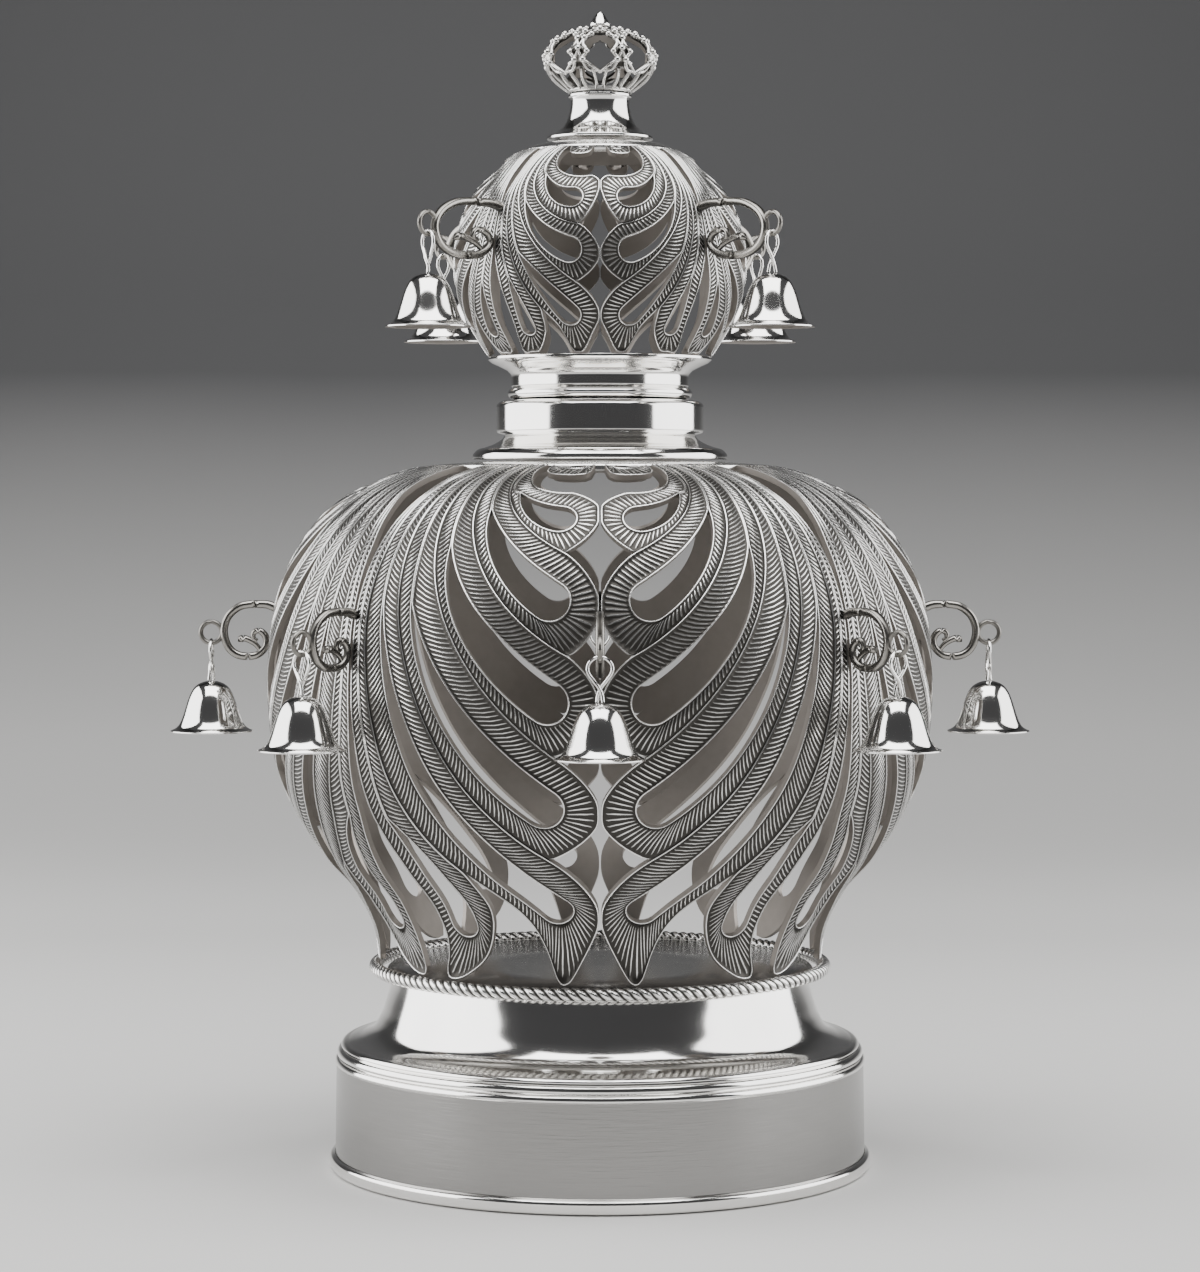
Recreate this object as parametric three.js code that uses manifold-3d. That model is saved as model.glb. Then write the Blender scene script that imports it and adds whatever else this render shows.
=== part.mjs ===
// A silver torah crown: a round base, a large openwork body, a turned neck, a small openwork dome with
// a finial, and twelve bells that hang from scroll brackets. Millimetres, +Z up, front facing -Y.
import * as THREE from "three";
import { mergeVertices } from "three/addons/utils/BufferGeometryUtils.js";
import Module from "manifold-3d";

const wasm = await Module();
wasm.setup();

// ---- Driving dimensions ----
const OVERALL_HEIGHT = 370;
const SHEET = 2; // thickness of the pierced silver
const FIT = 0.35; // clearance between pieces that are pinned or soldered together
const GROOVE = 1; // depth of the groove between two neighbouring feather ribs
const SECTORS = 4; // the openwork repeats every quarter turn, and each quarter is mirrored
const HALF_SECTOR = 45; // degrees

const BASE_SIDES = 26;
const RING_SIDES = 26;
const NECK_SIDES = 18;
const SMALL_SIDES = 8;

const BASE = {
  flange: 87.7,
  band: 85.2,
  bandTop: 34,
  step: 83,
  shelf: [72.5, 43.6], // where the nearly flat shelf turns up into the waist
  underShelf: [69.9, 41.4],
  waist: 66.5,
  height: 62.2,
  wall: 2.4,
};
const ROPE = { radius: 72, thickness: 4.6, sides: 5 };
const FLOOR = { radius: 68.9, thickness: 1.6 };
const NECK = { bore: 24, flange: 41.5, waist: 30.5, band: 33.2, bead: 29.6, collar: 28.4, cup: 35.8 };
const BELL = { radius: 13.2, height: 16.4, wall: 1 };
const SCROLL = { height: 8.3, wire: 1.35, ring: 3.4, ringWire: 0.65 };
const LINK_WIRE = 0.6;
// Distance from the axis and height of a scroll's middle and of its ring, a bell's rim height, and how
// far the scroll reaches to each side of its middle.
const LOWER_ROW = { scroll: [112.6, 172], eye: [124.9, 171.4], rim: 139.4, reach: 8.1 };
const UPPER_ROW = { scroll: [57.5, 297.6], eye: [74.2, 298.4], rim: 266.6, reach: 13.6 };

// Radius and height pairs of the outer skin, from the foot up to the rim.
const BODY_PROFILE = [
  [71.2, 67], [72.3, 75.8], [78.4, 88.6], [89.3, 101.5], [97.6, 114.3], [103.2, 127.2],
  [106.2, 146], [106.2, 165], [103.8, 181.8], [99, 194.6], [90.4, 207.5], [78.7, 217.1],
  [62.2, 223.5], [41.6, 226.1], [37.5, 226.4],
];
const DOME_PROFILE = [
  [36.3, 259.9], [39.5, 265.3], [43, 271.7], [46.2, 280.5], [46.9, 289], [45.8, 299],
  [42.1, 309], [36.3, 316.7], [29.2, 323.1], [22.8, 326.3], [17, 328], [14, 328.5],
];

// The openwork. Every place is [degrees from the sector's axis, millimetres up the skin from its foot].
// A loop is a feathered rib that runs down from the rim, turns round its opening where it meets its
// mirror image on the axis, and runs back up. Lines part neighbouring loops: foot, two handles, top.
const BODY_PATTERN = {
  rim: 194,
  stations: [60, 92, 126, 145, 163, 194],
  clearance: 7, // how far the first station above a line's foot keeps from it
  hook: [[1.5, 194], [3, 182], [8.5, 180], [14, 183], [14.8, 194]],
  lines: [
    [[5.7, 167], [15.5, 166], [18.7, 176], [16.7, 194]],
    [[6, 142.5], [11.5, 147.5], [25, 162], [19.6, 194]],
    [[4.9, 110.5], [15.3, 120], [31.6, 150], [24.4, 194]],
    [[7.3, 80.7], [18.2, 95], [37.3, 130], [30.6, 194]],
    [[9.1, 46.5], [23, 62], [45, 115], [33.5, 194]],
    [[26.8, 40.3], [39.2, 58], [48.8, 125], [36.2, 194]],
  ],
  loops: [
    { touch: 157, nose: [7.7, 155], bend: [13.4, 157], tip: [17.2, 167], radius: 5 },
    { touch: 125, nose: [8.2, 127], bend: [18.7, 140], tip: [22, 159], radius: 6 },
    { touch: 95, nose: [8.4, 97], bend: [24.9, 118], tip: [27.6, 145], radius: 6.3 },
    { touch: 63, nose: [9.6, 65], bend: [27.8, 90], tip: [32.8, 126], radius: 6.3 },
    { touch: 22.5, nose: [9.4, 26], bend: [34.5, 62], tip: [38.8, 126], radius: 5.2 },
  ],
  contact: 3.5,
  noseSteps: 2,
  lastFoot: [[2.8, 11], [7.6, 0], [10, 0], [15.4, 19.5]],
  column: {
    opening: { nose: [32.7, 19], bend: [33.5, 44], tip: [40.2, 60], radius: 4.6 },
    footMiddle: [39, 0],
    outer: [[36.5, 0], [28.4, 8], [24.3, 23]],
    inner: [[41.4, 0], [39.4, 14], [40.6, 38]],
    slit: [[60, 1.6], [92, 0], [126, 0], [145, 0.9], [163, 3.1], [194, 5.8]],
  },
};
const DOME_PATTERN = {
  rim: 75,
  stations: [25, 33, 49.6, 59.4, 75],
  clearance: 3,
  hook: [[4, 75], [7, 69.8], [17, 69.8], [20, 75]],
  lines: [
    [[3.4, 58.8], [16, 57], [29, 62], [21.5, 75]],
    [[8, 41.5], [22, 42.5], [41, 56], [27, 75]],
    [[9, 23.3], [21.5, 30], [49, 50], [33, 75]],
    [[24.6, 15], [36, 27], [47, 48], [37, 75]],
  ],
  loops: [
    { touch: 55, nose: [11.8, 50.4], bend: [20, 50.5], tip: [26, 59.4], radius: 3.4 },
    { touch: 32, nose: [11.8, 33.3], bend: [25, 37], tip: [32.5, 49.6], radius: 3.9 },
    { touch: 12.5, nose: [12.8, 12.8], bend: [22, 21], tip: [33, 33], radius: 3.5 },
  ],
  contact: 1.6,
  noseSteps: 1,
  lastFoot: [[3.2, 6.5], [8, 0], [13, 0], [18, 8.6]],
  column: {
    opening: { nose: [33.4, 8.6], bend: [34.5, 16], tip: [37.5, 25], radius: 2.5 },
    footMiddle: [36, 0],
    outer: [[31, 0], [25, 7]],
    inner: [[41, 0], [40.4, 12]],
    slit: [[25, 2.4], [33, 0], [49.6, 0], [59.4, 2.2], [75, 3]],
  },
};

const SILVER = new THREE.MeshStandardMaterial({ color: 0xc9c7c1, roughness: 0.2, metalness: 1 });
const SATIN = new THREE.MeshStandardMaterial({ color: 0xb9b8b3, roughness: 0.38, metalness: 1 });
const CHASED = new THREE.MeshStandardMaterial({ color: 0xa9a7a0, roughness: 0.34, metalness: 1 });
const DARKENED = new THREE.MeshStandardMaterial({ color: 0x77746c, roughness: 0.4, metalness: 1 });

// ---- General helpers ----
const radians = (degrees) => THREE.MathUtils.degToRad(degrees);

/** A closed lathe solid about the Z axis from [radius, height] points that run anticlockwise. */
function turned(points, sides) {
  const closed = points[0][0] === 0 ? points : [...points, points[0]];
  const shape = closed.map(([r, z]) => new THREE.Vector2(r, z));
  return new THREE.LatheGeometry(shape, sides).rotateX(Math.PI / 2);
}

/** A manifold-3d solid with the same surface as a closed geometry. */
function solid(geometry) {
  const bare = geometry.clone();
  bare.deleteAttribute("normal");
  bare.deleteAttribute("uv");
  const merged = mergeVertices(bare, 1e-4);
  return new wasm.Manifold(
    new wasm.Mesh({
      numProp: 3,
      vertProperties: merged.attributes.position.array,
      triVerts: new Uint32Array(merged.index.array),
    }),
  );
}

/** The geometry of a manifold-3d solid. */
function geometryOf(made) {
  const mesh = made.getMesh();
  const geometry = new THREE.BufferGeometry();
  geometry.setAttribute("position", new THREE.BufferAttribute(mesh.vertProperties, 3));
  geometry.setIndex(new THREE.BufferAttribute(mesh.triVerts, 1));
  geometry.computeVertexNormals();
  return geometry;
}

/** One geometry that holds the union of several closed ones. */
function joined(...geometries) {
  return geometryOf(geometries.map(solid).reduce((a, b) => a.add(b)));
}

/** A bar of round or square section along a curve. */
function bar(curve, radius, sides, steps) {
  const section = new THREE.Shape();
  for (let i = 0; i <= sides; i++) {
    const a = ((i + 0.5) / sides) * Math.PI * 2;
    section[i ? "lineTo" : "moveTo"](radius * Math.cos(a), radius * Math.sin(a));
  }
  return new THREE.ExtrudeGeometry(section, { steps, extrudePath: curve, bevelEnabled: false });
}

function piece(name, geometry, material) {
  const mesh = new THREE.Mesh(geometry, material);
  mesh.name = name;
  return mesh;
}

// ---- Pierced skins ----
/** The outer skin as a curve measured along its length, with a point inside it at a given depth. */
function skin(profile) {
  const ends = profile.map(([r, z]) => new THREE.Vector2(r, z));
  const reach = [0];
  ends.slice(1).forEach((end, i) => reach.push(reach[i] + end.distanceTo(ends[i])));
  const length = reach.at(-1);

  const at = (s) => {
    const i = Math.min(Math.max(reach.findIndex((value) => value >= s), 1), ends.length - 1);
    return ends[i - 1].clone().lerp(ends[i], (s - reach[i - 1]) / (reach[i] - reach[i - 1]));
  };
  const point = ([degrees, s], depth) => {
    const step = at(Math.min(s + 2, length)).sub(at(Math.max(s - 2, 0))).normalize();
    const spot = at(s).add(new THREE.Vector2(-step.y, step.x).multiplyScalar(depth));
    const angle = radians(degrees);
    return [spot.x * Math.sin(angle), -spot.x * Math.cos(angle), spot.y];
  };
  return { length, point, radius: (s) => at(s).x };
}

/** Flat millimetres across and up, near height s, of a place on the skin. */
const flat = (surface, [degrees, s], near) =>
  new THREE.Vector2(radians(degrees) * surface.radius(near), s);

function bezierAt(points, t) {
  const blend = (a, b) => a.map((value, i) => value + (b[i] - value) * t);
  let row = points;
  while (row.length > 1) row = row.slice(1).map((p, i) => blend(row[i], p));
  return row[0];
}

/** The place where a rising line crosses height s. */
function crossing(line, s) {
  let [low, high] = [0, 1];
  for (let i = 0; i < 40; i++) {
    const middle = (low + high) / 2;
    if (bezierAt(line, middle)[1] < s) low = middle;
    else high = middle;
  }
  return [bezierAt(line, high)[0], s];
}

/** The place on the rim of a teardrop opening that faces a place on the rib around it. */
function facing(surface, opening, place) {
  const spine = [opening.nose, opening.bend, opening.tip];
  const target = flat(surface, place, place[1]);
  const distance = (t) => flat(surface, bezierAt(spine, t), place[1]).distanceTo(target);
  let best = 0;
  for (let t = 0; t <= 1; t += 1 / 64) if (distance(t) < distance(best)) best = t;
  if (best > 0.97) return opening.tip;
  const centre = flat(surface, bezierAt(spine, best), place[1]);
  const width = opening.radius * (1 - best ** 1.6);
  const spot = centre.clone().add(target.sub(centre).setLength(width));
  return [THREE.MathUtils.radToDeg(spot.x / surface.radius(place[1])), spot.y];
}

/** Places along the free nose of a loop, from where it meets its mirror image to a line's foot. */
function nose(touch, foot, steps) {
  const arc = [touch, [0.3 * foot[0], touch[1] + 0.6 * (foot[1] - touch[1])], foot];
  return Array.from({ length: steps + 1 }, (_, i) => bezierAt(arc, i / steps));
}

/** A line from its foot up through the stations above it. */
function climb(line, pattern) {
  const above = pattern.stations.filter((s) => s > line[0][1] + pattern.clearance);
  return above.map((s) => crossing(line, s));
}

/**
 * The two edges of one limb of a loop: places on the outside, and the places across from them on the
 * opening, or past its tip on the seam where the loop's two limbs meet.
 */
function limb(surface, opening, outside, seam) {
  const across = outside.map((place) => {
    if (place[1] > opening.tip[1] - 0.1) return seam(place[1]);
    return facing(surface, opening, place);
  });
  return { outside, across };
}

/** The limbs of half a sector, in order from the axis to the sector's edge. */
function limbs(surface, pattern) {
  const { lines, loops, column, contact, noseSteps } = pattern;
  const climbs = lines.map((line) => climb(line, pattern));
  const made = loops.map((loop, i) => {
    const seam = (s) => {
      if (s < loop.tip[1] + 0.1) return loop.tip;
      return [(crossing(lines[i], s)[0] + crossing(lines[i + 1], s)[0]) / 2, s];
    };
    const [high, low] = [[0, loop.touch + contact], [0, loop.touch - contact]];
    const last = i === loops.length - 1;
    const upper = nose(high, lines[i][0], noseSteps);
    const foot = lines[i + 1][0];
    const lower = last ? [low, ...pattern.lastFoot, foot] : nose(low, foot, noseSteps);
    const pair = [
      limb(surface, loop, [...upper, ...climbs[i]], seam),
      limb(surface, loop, [...lower, ...climbs[i + 1]], seam),
    ];
    const end = facing(surface, loop, [0, loop.touch]);
    pair.forEach((part) => (part.across[0] = end));
    return pair;
  });

  const edge = (s) => {
    const gap = column.slit.find(([height]) => height === s);
    return [HALF_SECTOR - gap[1], s];
  };
  const heights = column.slit.map(([height]) => height);
  const lastLine = lines.at(-1);
  const seam = (s) => {
    if (s < column.opening.tip[1] + 0.1) return column.opening.tip;
    return [(crossing(lastLine, s)[0] + edge(s)[0]) / 2, s];
  };
  const outer = [column.footMiddle, ...column.outer, lastLine[0], ...climbs.at(-1)];
  const inner = [column.footMiddle, ...column.inner, ...heights.map(edge)];
  made.push([
    limb(surface, column.opening, outer, seam),
    limb(surface, column.opening, inner, seam),
  ]);
  return made;
}

/** Triangles between two rows of places of the same length. */
function strip(a, b) {
  const triangles = [];
  for (let i = 1; i < a.length; i++) triangles.push([a[i - 1], a[i], b[i]], [a[i - 1], b[i], b[i - 1]]);
  return triangles;
}

/** Triangles between two rows of places that both run from low to high angle. */
function zipper(low, high) {
  const triangles = [];
  let [i, j] = [0, 0];
  while (i < low.length - 1 || j < high.length - 1) {
    const lowNext = i < low.length - 1 ? low[i + 1][0] : Infinity;
    const highNext = j < high.length - 1 ? high[j + 1][0] : Infinity;
    if (lowNext <= highNext) triangles.push([low[i], low[++i], high[j]]);
    else triangles.push([low[i], high[++j], high[j - 1]]);
  }
  return triangles;
}

const fan = (places) => places.slice(2).map((place, i) => [places[0], places[i + 1], place]);

/** Flat triangles of half a sector: the outer face with its grooves, and the plainer inner face. */
function halfSector(surface, pattern) {
  const pairs = limbs(surface, pattern);
  const outer = pairs.flat().flatMap(({ outside, across }) => strip(outside, across));
  const contacts = pairs.slice(0, -1).map(([up, down]) => [up.outside[0], down.outside[0], up.across[0]]);

  const inner = [];
  const whole = ({ outside, across }, from, to) =>
    inner.push(...strip(outside.slice(from, to), across.slice(from, to)));
  whole(pairs[0][0], 0, Infinity);
  pairs.slice(1).forEach(([right], i) => {
    const left = pairs[i][1];
    const steps = climb(pattern.lines[i + 1], pattern).length;
    const [a, b] = [left, right].map(({ across }) => across.slice(-steps - 1));
    const foot = left.outside.at(-steps - 1);
    whole(left, 0, left.outside.length - steps);
    whole(right, 0, right.outside.length - steps);
    inner.push([foot, a[0], a[1]], [foot, a[1], b[1]], [foot, b[1], b[0]]);
    inner.push(...strip(a.slice(1), b.slice(1)));
  });
  whole(pairs.at(-1)[1], 0, Infinity);

  const hook = pattern.hook;
  const ends = [[0, pattern.rim], hook[0], hook.at(-1)];
  const seams = pairs.map(([limbUp]) => limbUp.across.at(-1));
  const tops = pattern.lines.map((line) => crossing(line, pattern.rim));
  const edge = pairs.at(-1)[1].outside.at(-1);
  const corner = [HALF_SECTOR, pattern.rim];
  const top = [0, 15, 30, 45].map((degrees) => [degrees, surface.length]);
  const inOrder = (places) => places.sort((a, b) => a[0] - b[0]);
  const outerRim = inOrder([...ends, ...seams, ...tops, edge, corner]);
  const innerRim = inOrder([...ends, ...seams, tops[0], edge, corner]);
  outer.push(...contacts, ...fan(hook), ...zipper(outerRim, top));
  inner.push(...contacts, ...fan(hook), ...zipper(innerRim, top));
  const grooves = pattern.lines.slice(1).flatMap((line) => climb(line, pattern).slice(0, -1));
  return { outer, inner, grooves };
}

/** The closed solid of a pierced skin: both faces of every half sector, and the walls between them. */
function piercedSkin(profile, pattern) {
  const surface = skin(profile);
  const half = halfSector(surface, pattern);
  const places = new Map();
  const positions = [];
  const name = ([degrees, s], layer) => `${degrees.toFixed(4)} ${s.toFixed(4)} ${layer}`;
  const sunk = new Set(half.grooves.map((place) => name(place, 0)));

  const vertex = (place, layer, copy) => {
    const turn = 2 * HALF_SECTOR * copy.quarter;
    const angle = (turn + copy.side * place[0] + 360) % 360;
    const key = name([angle === 360 ? 0 : angle, place[1]], layer);
    if (!places.has(key)) {
      const depth = layer ? SHEET : sunk.has(name(place, 0)) ? GROOVE : 0;
      places.set(key, positions.length / 3);
      positions.push(...surface.point([angle, place[1]], depth));
    }
    return places.get(key);
  };
  const area = ([a, b, c]) => (b[0] - a[0]) * (c[1] - a[1]) - (c[0] - a[0]) * (b[1] - a[1]);

  const faces = [];
  const edges = new Map();
  for (let quarter = 0; quarter < SECTORS; quarter++) {
    for (const side of [1, -1]) {
      const add = (triangle, layer) => {
        if (Math.abs(area(triangle)) < 1e-6) return;
        const flip = area(triangle) > 0 !== (side > 0) !== layer > 0;
        const [a, b, c] = triangle.map((place) => vertex(place, layer, { quarter, side }));
        faces.push(flip ? [a, c, b] : [a, b, c]);
        if (layer) return;
        const loop = flip ? [0, 2, 1] : [0, 1, 2];
        loop.forEach((from, i) => {
          const ends = [triangle[from], triangle[loop[(i + 1) % 3]]];
          const [start, end] = ends.map((place) => vertex(place, 0, { quarter, side }));
          if (edges.has(`${end} ${start}`)) edges.delete(`${end} ${start}`);
          else edges.set(`${start} ${end}`, { start, end, ends, copy: { quarter, side } });
        });
      };
      half.outer.forEach((triangle) => add(triangle, 0));
      half.inner.forEach((triangle) => add(triangle, 1));
    }
  }
  for (const { start, end, ends, copy } of edges.values()) {
    const [below, beyond] = ends.map((place) => vertex(place, 1, copy));
    faces.push([end, start, below], [end, below, beyond]);
  }
  const geometry = new THREE.BufferGeometry();
  geometry.setAttribute("position", new THREE.Float32BufferAttribute(positions, 3));
  geometry.setIndex(faces.flat());
  geometry.computeVertexNormals();
  return geometry;
}

// ---- Turned pieces ----
function baseGeometry() {
  const { flange, band, bandTop, step, shelf, underShelf, waist, height, wall } = BASE;
  return turned([
    [flange - 4.5, 0], [flange, 0], [flange, 4], [band, 5.2], [band - 0.3, bandTop + 1.6],
    [step, bandTop + 4], [step, bandTop + 7], shelf, [waist, height],
    [waist - wall, height], underShelf, [step - wall, bandTop + 3],
  ], BASE_SIDES);
}

function ropeGeometry() {
  const { radius, thickness, sides } = ROPE;
  const ring = new THREE.TorusGeometry(radius, thickness / 2, sides, RING_SIDES);
  return ring.translate(0, 0, BASE.height + FIT + (thickness / 2) * Math.cos(Math.PI / sides));
}

function floorGeometry() {
  const [low, high] = [BASE.height + FIT, BASE.height + FIT + FLOOR.thickness];
  return turned([[0, low], [FLOOR.radius, low], [FLOOR.radius, high], [0, high]], BASE_SIDES);
}

function neckGeometry() {
  const { bore, flange, waist, band, bead, collar, cup } = NECK;
  const foot = BODY_PROFILE.at(-1)[1] + FIT;
  const top = DOME_PROFILE[0][1] - FIT;
  return turned([
    [bore, foot], [flange, foot], [flange, foot + 3.4], [waist, 233.4],
    [band, 235.2], [band, 244.4], [bead - 2, 246], [bead, 248.6], [collar, 250.4],
    [collar, 253.6], [cup, top - 1.2], [cup, top], [bore, top],
  ], NECK_SIDES);
}

function collarGeometry() {
  const foot = DOME_PROFILE.at(-1)[1] + FIT;
  return turned([
    [0, foot], [17, foot], [17, foot + 1.2], [12.6, 332.6], [9.8, 336.4], [9.3, 340],
    [10.2, 342], [10.2, 343.2], [0, 343.2],
  ], SMALL_SIDES + 4);
}

// ---- The little crown on top ----
function littleCrownGeometry() {
  const foot = 343.2 + FIT;
  const shell = turned([
    [7.4, foot], [10, foot], [18.4, 352], [18.4, 356], [13.8, 361.4], [4.4, 364.4],
    [3, 363], [12.4, 359.8], [16.4, 355.2], [16.2, 352.6],
  ], 12);
  const outline = (points) => new THREE.Shape(points.map((point) => new THREE.Vector2(...point)));
  const cutter = (shape, height, angle) =>
    new THREE.ExtrudeGeometry(shape, { depth: 30, bevelEnabled: false })
      .rotateX(Math.PI / 2)
      .translate(0, 0, height)
      .rotateZ(radians(angle));
  const arch = outline([[-2.1, -3.4], [2.1, -3.4], [3.4, 0], [0, 4.6], [-3.4, 0]]);
  const slot = outline([[-1, -2.4], [1, -2.4], [0, 1.4]]);
  const cuts = [];
  for (let turn = 0; turn < 360; turn += 60) {
    cuts.push(cutter(arch, 355.4, turn));
    cuts.push(cutter(slot, 348.2, turn + 30));
  }
  return geometryOf(cuts.map(solid).reduce((left, cut) => left.subtract(cut), solid(shell)));
}

function budGeometry() {
  return turned([
    [0, 363.2], [2.2, 363.2], [2.4, 364.8], [3.2, 364.8], [2.6, 366.6], [1.1, 368.8], [0, OVERALL_HEIGHT],
  ], SMALL_SIDES);
}

// ---- Bells and their brackets ----
/** A bell with its rim at height 0 and its crown up. */
function bellGeometry() {
  const { radius, height, wall } = BELL;
  return turned([
    [0, height - wall], [radius * 0.44, height * 0.68], [radius - 2.4, 0],
    [radius, 0], [radius * 0.76, height * 0.12], [radius * 0.55, height * 0.62],
    [radius * 0.38, height * 0.95], [0, height],
  ], SMALL_SIDES);
}

/**
 * A C scroll in the plane of X and Z. Its middle is the origin, its back end springs from the shell, and
 * it carries a ring at eye = [out, up].
 */
function scrollGeometry(reach, eye) {
  const { height, wire, ring, ringWire } = SCROLL;
  const route = [
    [-1, 0.9], [-0.4, 1.02], [0.4, 0.92], [1, 0.15], [0.8, -0.7], [0.1, -1], [-0.55, -0.75],
    [-0.62, -0.2], [-0.2, 0],
  ];
  const curve = new THREE.CatmullRomCurve3(
    route.map(([x, z]) => new THREE.Vector3(x * reach, 0, z * height)),
  );
  const loop = new THREE.TorusGeometry(ring, ringWire, 3, 6).rotateX(Math.PI / 2);
  return joined(bar(curve, wire, 4, 8), loop.translate(eye[0], 0, eye[1]));
}

/** The wire that hangs a bell: a pear-shaped loop about the ring's wire, and two strands down to height 0. */
function linkGeometry(height) {
  const half = [[0.8, 0], [0.8, height * 0.42], [3.5, height * 0.68], [2.9, height * 0.9]];
  const back = half.map(([y, z]) => [-y, z]).reverse();
  const curve = new THREE.CatmullRomCurve3(
    [...half, [0, height], ...back].map(([y, z]) => new THREE.Vector3(0, y, z)),
  );
  return bar(curve, LINK_WIRE, 3, 9);
}

/** One row of bells with their brackets and links, all alike, at equal distances from the axis. */
function bellRow(name, angles, { scroll, eye, rim, reach }) {
  const scrollShape = scrollGeometry(reach, [eye[0] - scroll[0], eye[1] - scroll[1]]);
  const crownTop = rim + BELL.height + FIT;
  const linkShape = linkGeometry(eye[1] - SCROLL.ring + SCROLL.ringWire + LINK_WIRE + FIT - crownTop);
  const bellShape = bellGeometry();
  const row = new THREE.Group();
  angles.forEach((angle, i) => {
    const arm = new THREE.Group();
    arm.rotation.z = radians(angle - 90);
    const bracket = piece(`${name}_bracket_${i + 1}`, scrollShape, DARKENED);
    const link = piece(`${name}_link_${i + 1}`, linkShape, SILVER);
    const bell = piece(`${name}_bell_${i + 1}`, bellShape, SILVER);
    bracket.position.set(scroll[0], 0, scroll[1]);
    link.position.set(eye[0], 0, crownTop);
    bell.position.set(eye[0], 0, rim);
    arm.add(bracket, link, bell);
    row.add(arm);
  });
  return row;
}

const crown = new THREE.Group();
crown.add(
  piece("base", baseGeometry(), SATIN),
  piece("floor_plate", floorGeometry(), SATIN),
  piece("rope_ring", ropeGeometry(), CHASED),
  piece("body_shell", piercedSkin(BODY_PROFILE, BODY_PATTERN), CHASED),
  piece("neck", neckGeometry(), SILVER),
  piece("dome_shell", piercedSkin(DOME_PROFILE, DOME_PATTERN), CHASED),
  piece("finial_collar", collarGeometry(), SILVER),
  piece("little_crown", littleCrownGeometry(), CHASED),
  piece("finial_bud", budGeometry(), SILVER),
  bellRow("lower", [0, 45, 90, 135, 180, 225, 270, 315], LOWER_ROW),
  bellRow("upper", [45, 135, 225, 315], UPPER_ROW),
);

export default crown;
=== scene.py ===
"""A silver crown of openwork ribs, hung with bells, on a plain studio floor."""

from __future__ import annotations

import logging
import math
from abc import ABC, abstractmethod
from collections.abc import Iterable, Sequence
from dataclasses import dataclass, field
from enum import Enum

import bpy
import numpy as np
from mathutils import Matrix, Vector


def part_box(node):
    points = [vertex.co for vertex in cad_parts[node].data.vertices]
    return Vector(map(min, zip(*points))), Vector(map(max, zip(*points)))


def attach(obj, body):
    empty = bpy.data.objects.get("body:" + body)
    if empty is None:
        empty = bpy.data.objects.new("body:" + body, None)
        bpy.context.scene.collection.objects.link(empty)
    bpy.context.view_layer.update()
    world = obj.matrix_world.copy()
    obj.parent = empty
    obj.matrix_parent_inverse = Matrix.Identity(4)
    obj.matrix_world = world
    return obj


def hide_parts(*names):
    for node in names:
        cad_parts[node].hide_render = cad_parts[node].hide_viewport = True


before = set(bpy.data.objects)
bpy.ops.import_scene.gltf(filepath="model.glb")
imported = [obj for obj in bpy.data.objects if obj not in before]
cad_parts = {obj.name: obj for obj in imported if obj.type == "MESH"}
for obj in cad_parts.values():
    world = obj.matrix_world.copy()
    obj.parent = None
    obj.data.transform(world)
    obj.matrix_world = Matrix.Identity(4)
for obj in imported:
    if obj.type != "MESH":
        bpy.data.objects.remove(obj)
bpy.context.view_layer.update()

MM = 0.001
SECTORS = 4
HALF_SECTOR = 45.0
CIRCLE = 2 * math.pi
STRAIGHT = -0.97
FILLET_SHARE = 0.42
FILLET_LEAD = 1.15
FILLET_STEPS = 5

Array = np.ndarray
Pair = tuple[float, float]
Colour = tuple[float, float, float]
Spot = tuple[float, float, float]
Material = bpy.types.Material

log = logging.getLogger("crown")


class Slot(Enum):
    """The record's material slots."""

    POLISHED = "polished_silver"
    SATIN = "satin_silver"
    CHASED = "chased_silver"
    DARK = "dark_silver"


# ---- Shader maths ----
class Term:
    """A number inside a shader: a socket that takes part in ordinary arithmetic."""

    def __init__(self, recipe: Recipe, socket: bpy.types.NodeSocket) -> None:
        """Wraps a socket.

        Args:
            recipe: The material that the socket belongs to.
            socket: An output socket that gives one number.
        """
        self.recipe = recipe
        self.socket = socket

    def _math(self, operation: str, *values: Term | float, clamp: bool = False) -> Term:
        """Adds a Math node.

        Args:
            operation: The node's operation.
            values: Its inputs, in order.
            clamp: Whether the result is kept between 0 and 1.

        Returns:
            The node's result.
        """
        settings = {"operation": operation, "use_clamp": clamp}
        node = self.recipe.node("ShaderNodeMath", settings, dict(enumerate(values)))
        return Term(self.recipe, node.outputs[0])

    def __add__(self, other: Term | float) -> Term:
        """Sum."""
        return self._math("ADD", self, other)

    def __sub__(self, other: Term | float) -> Term:
        """Difference."""
        return self._math("SUBTRACT", self, other)

    def __rsub__(self, other: float) -> Term:
        """Difference from a plain number."""
        return self._math("SUBTRACT", other, self)

    def __mul__(self, other: Term | float) -> Term:
        """Product."""
        return self._math("MULTIPLY", self, other)

    def __truediv__(self, other: Term | float) -> Term:
        """Quotient."""
        return self._math("DIVIDE", self, other)

    __radd__ = __add__
    __rmul__ = __mul__

    def clamped(self) -> Term:
        """The same number, kept between 0 and 1."""
        return self._math("MULTIPLY", self, 1.0, clamp=True)


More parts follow.
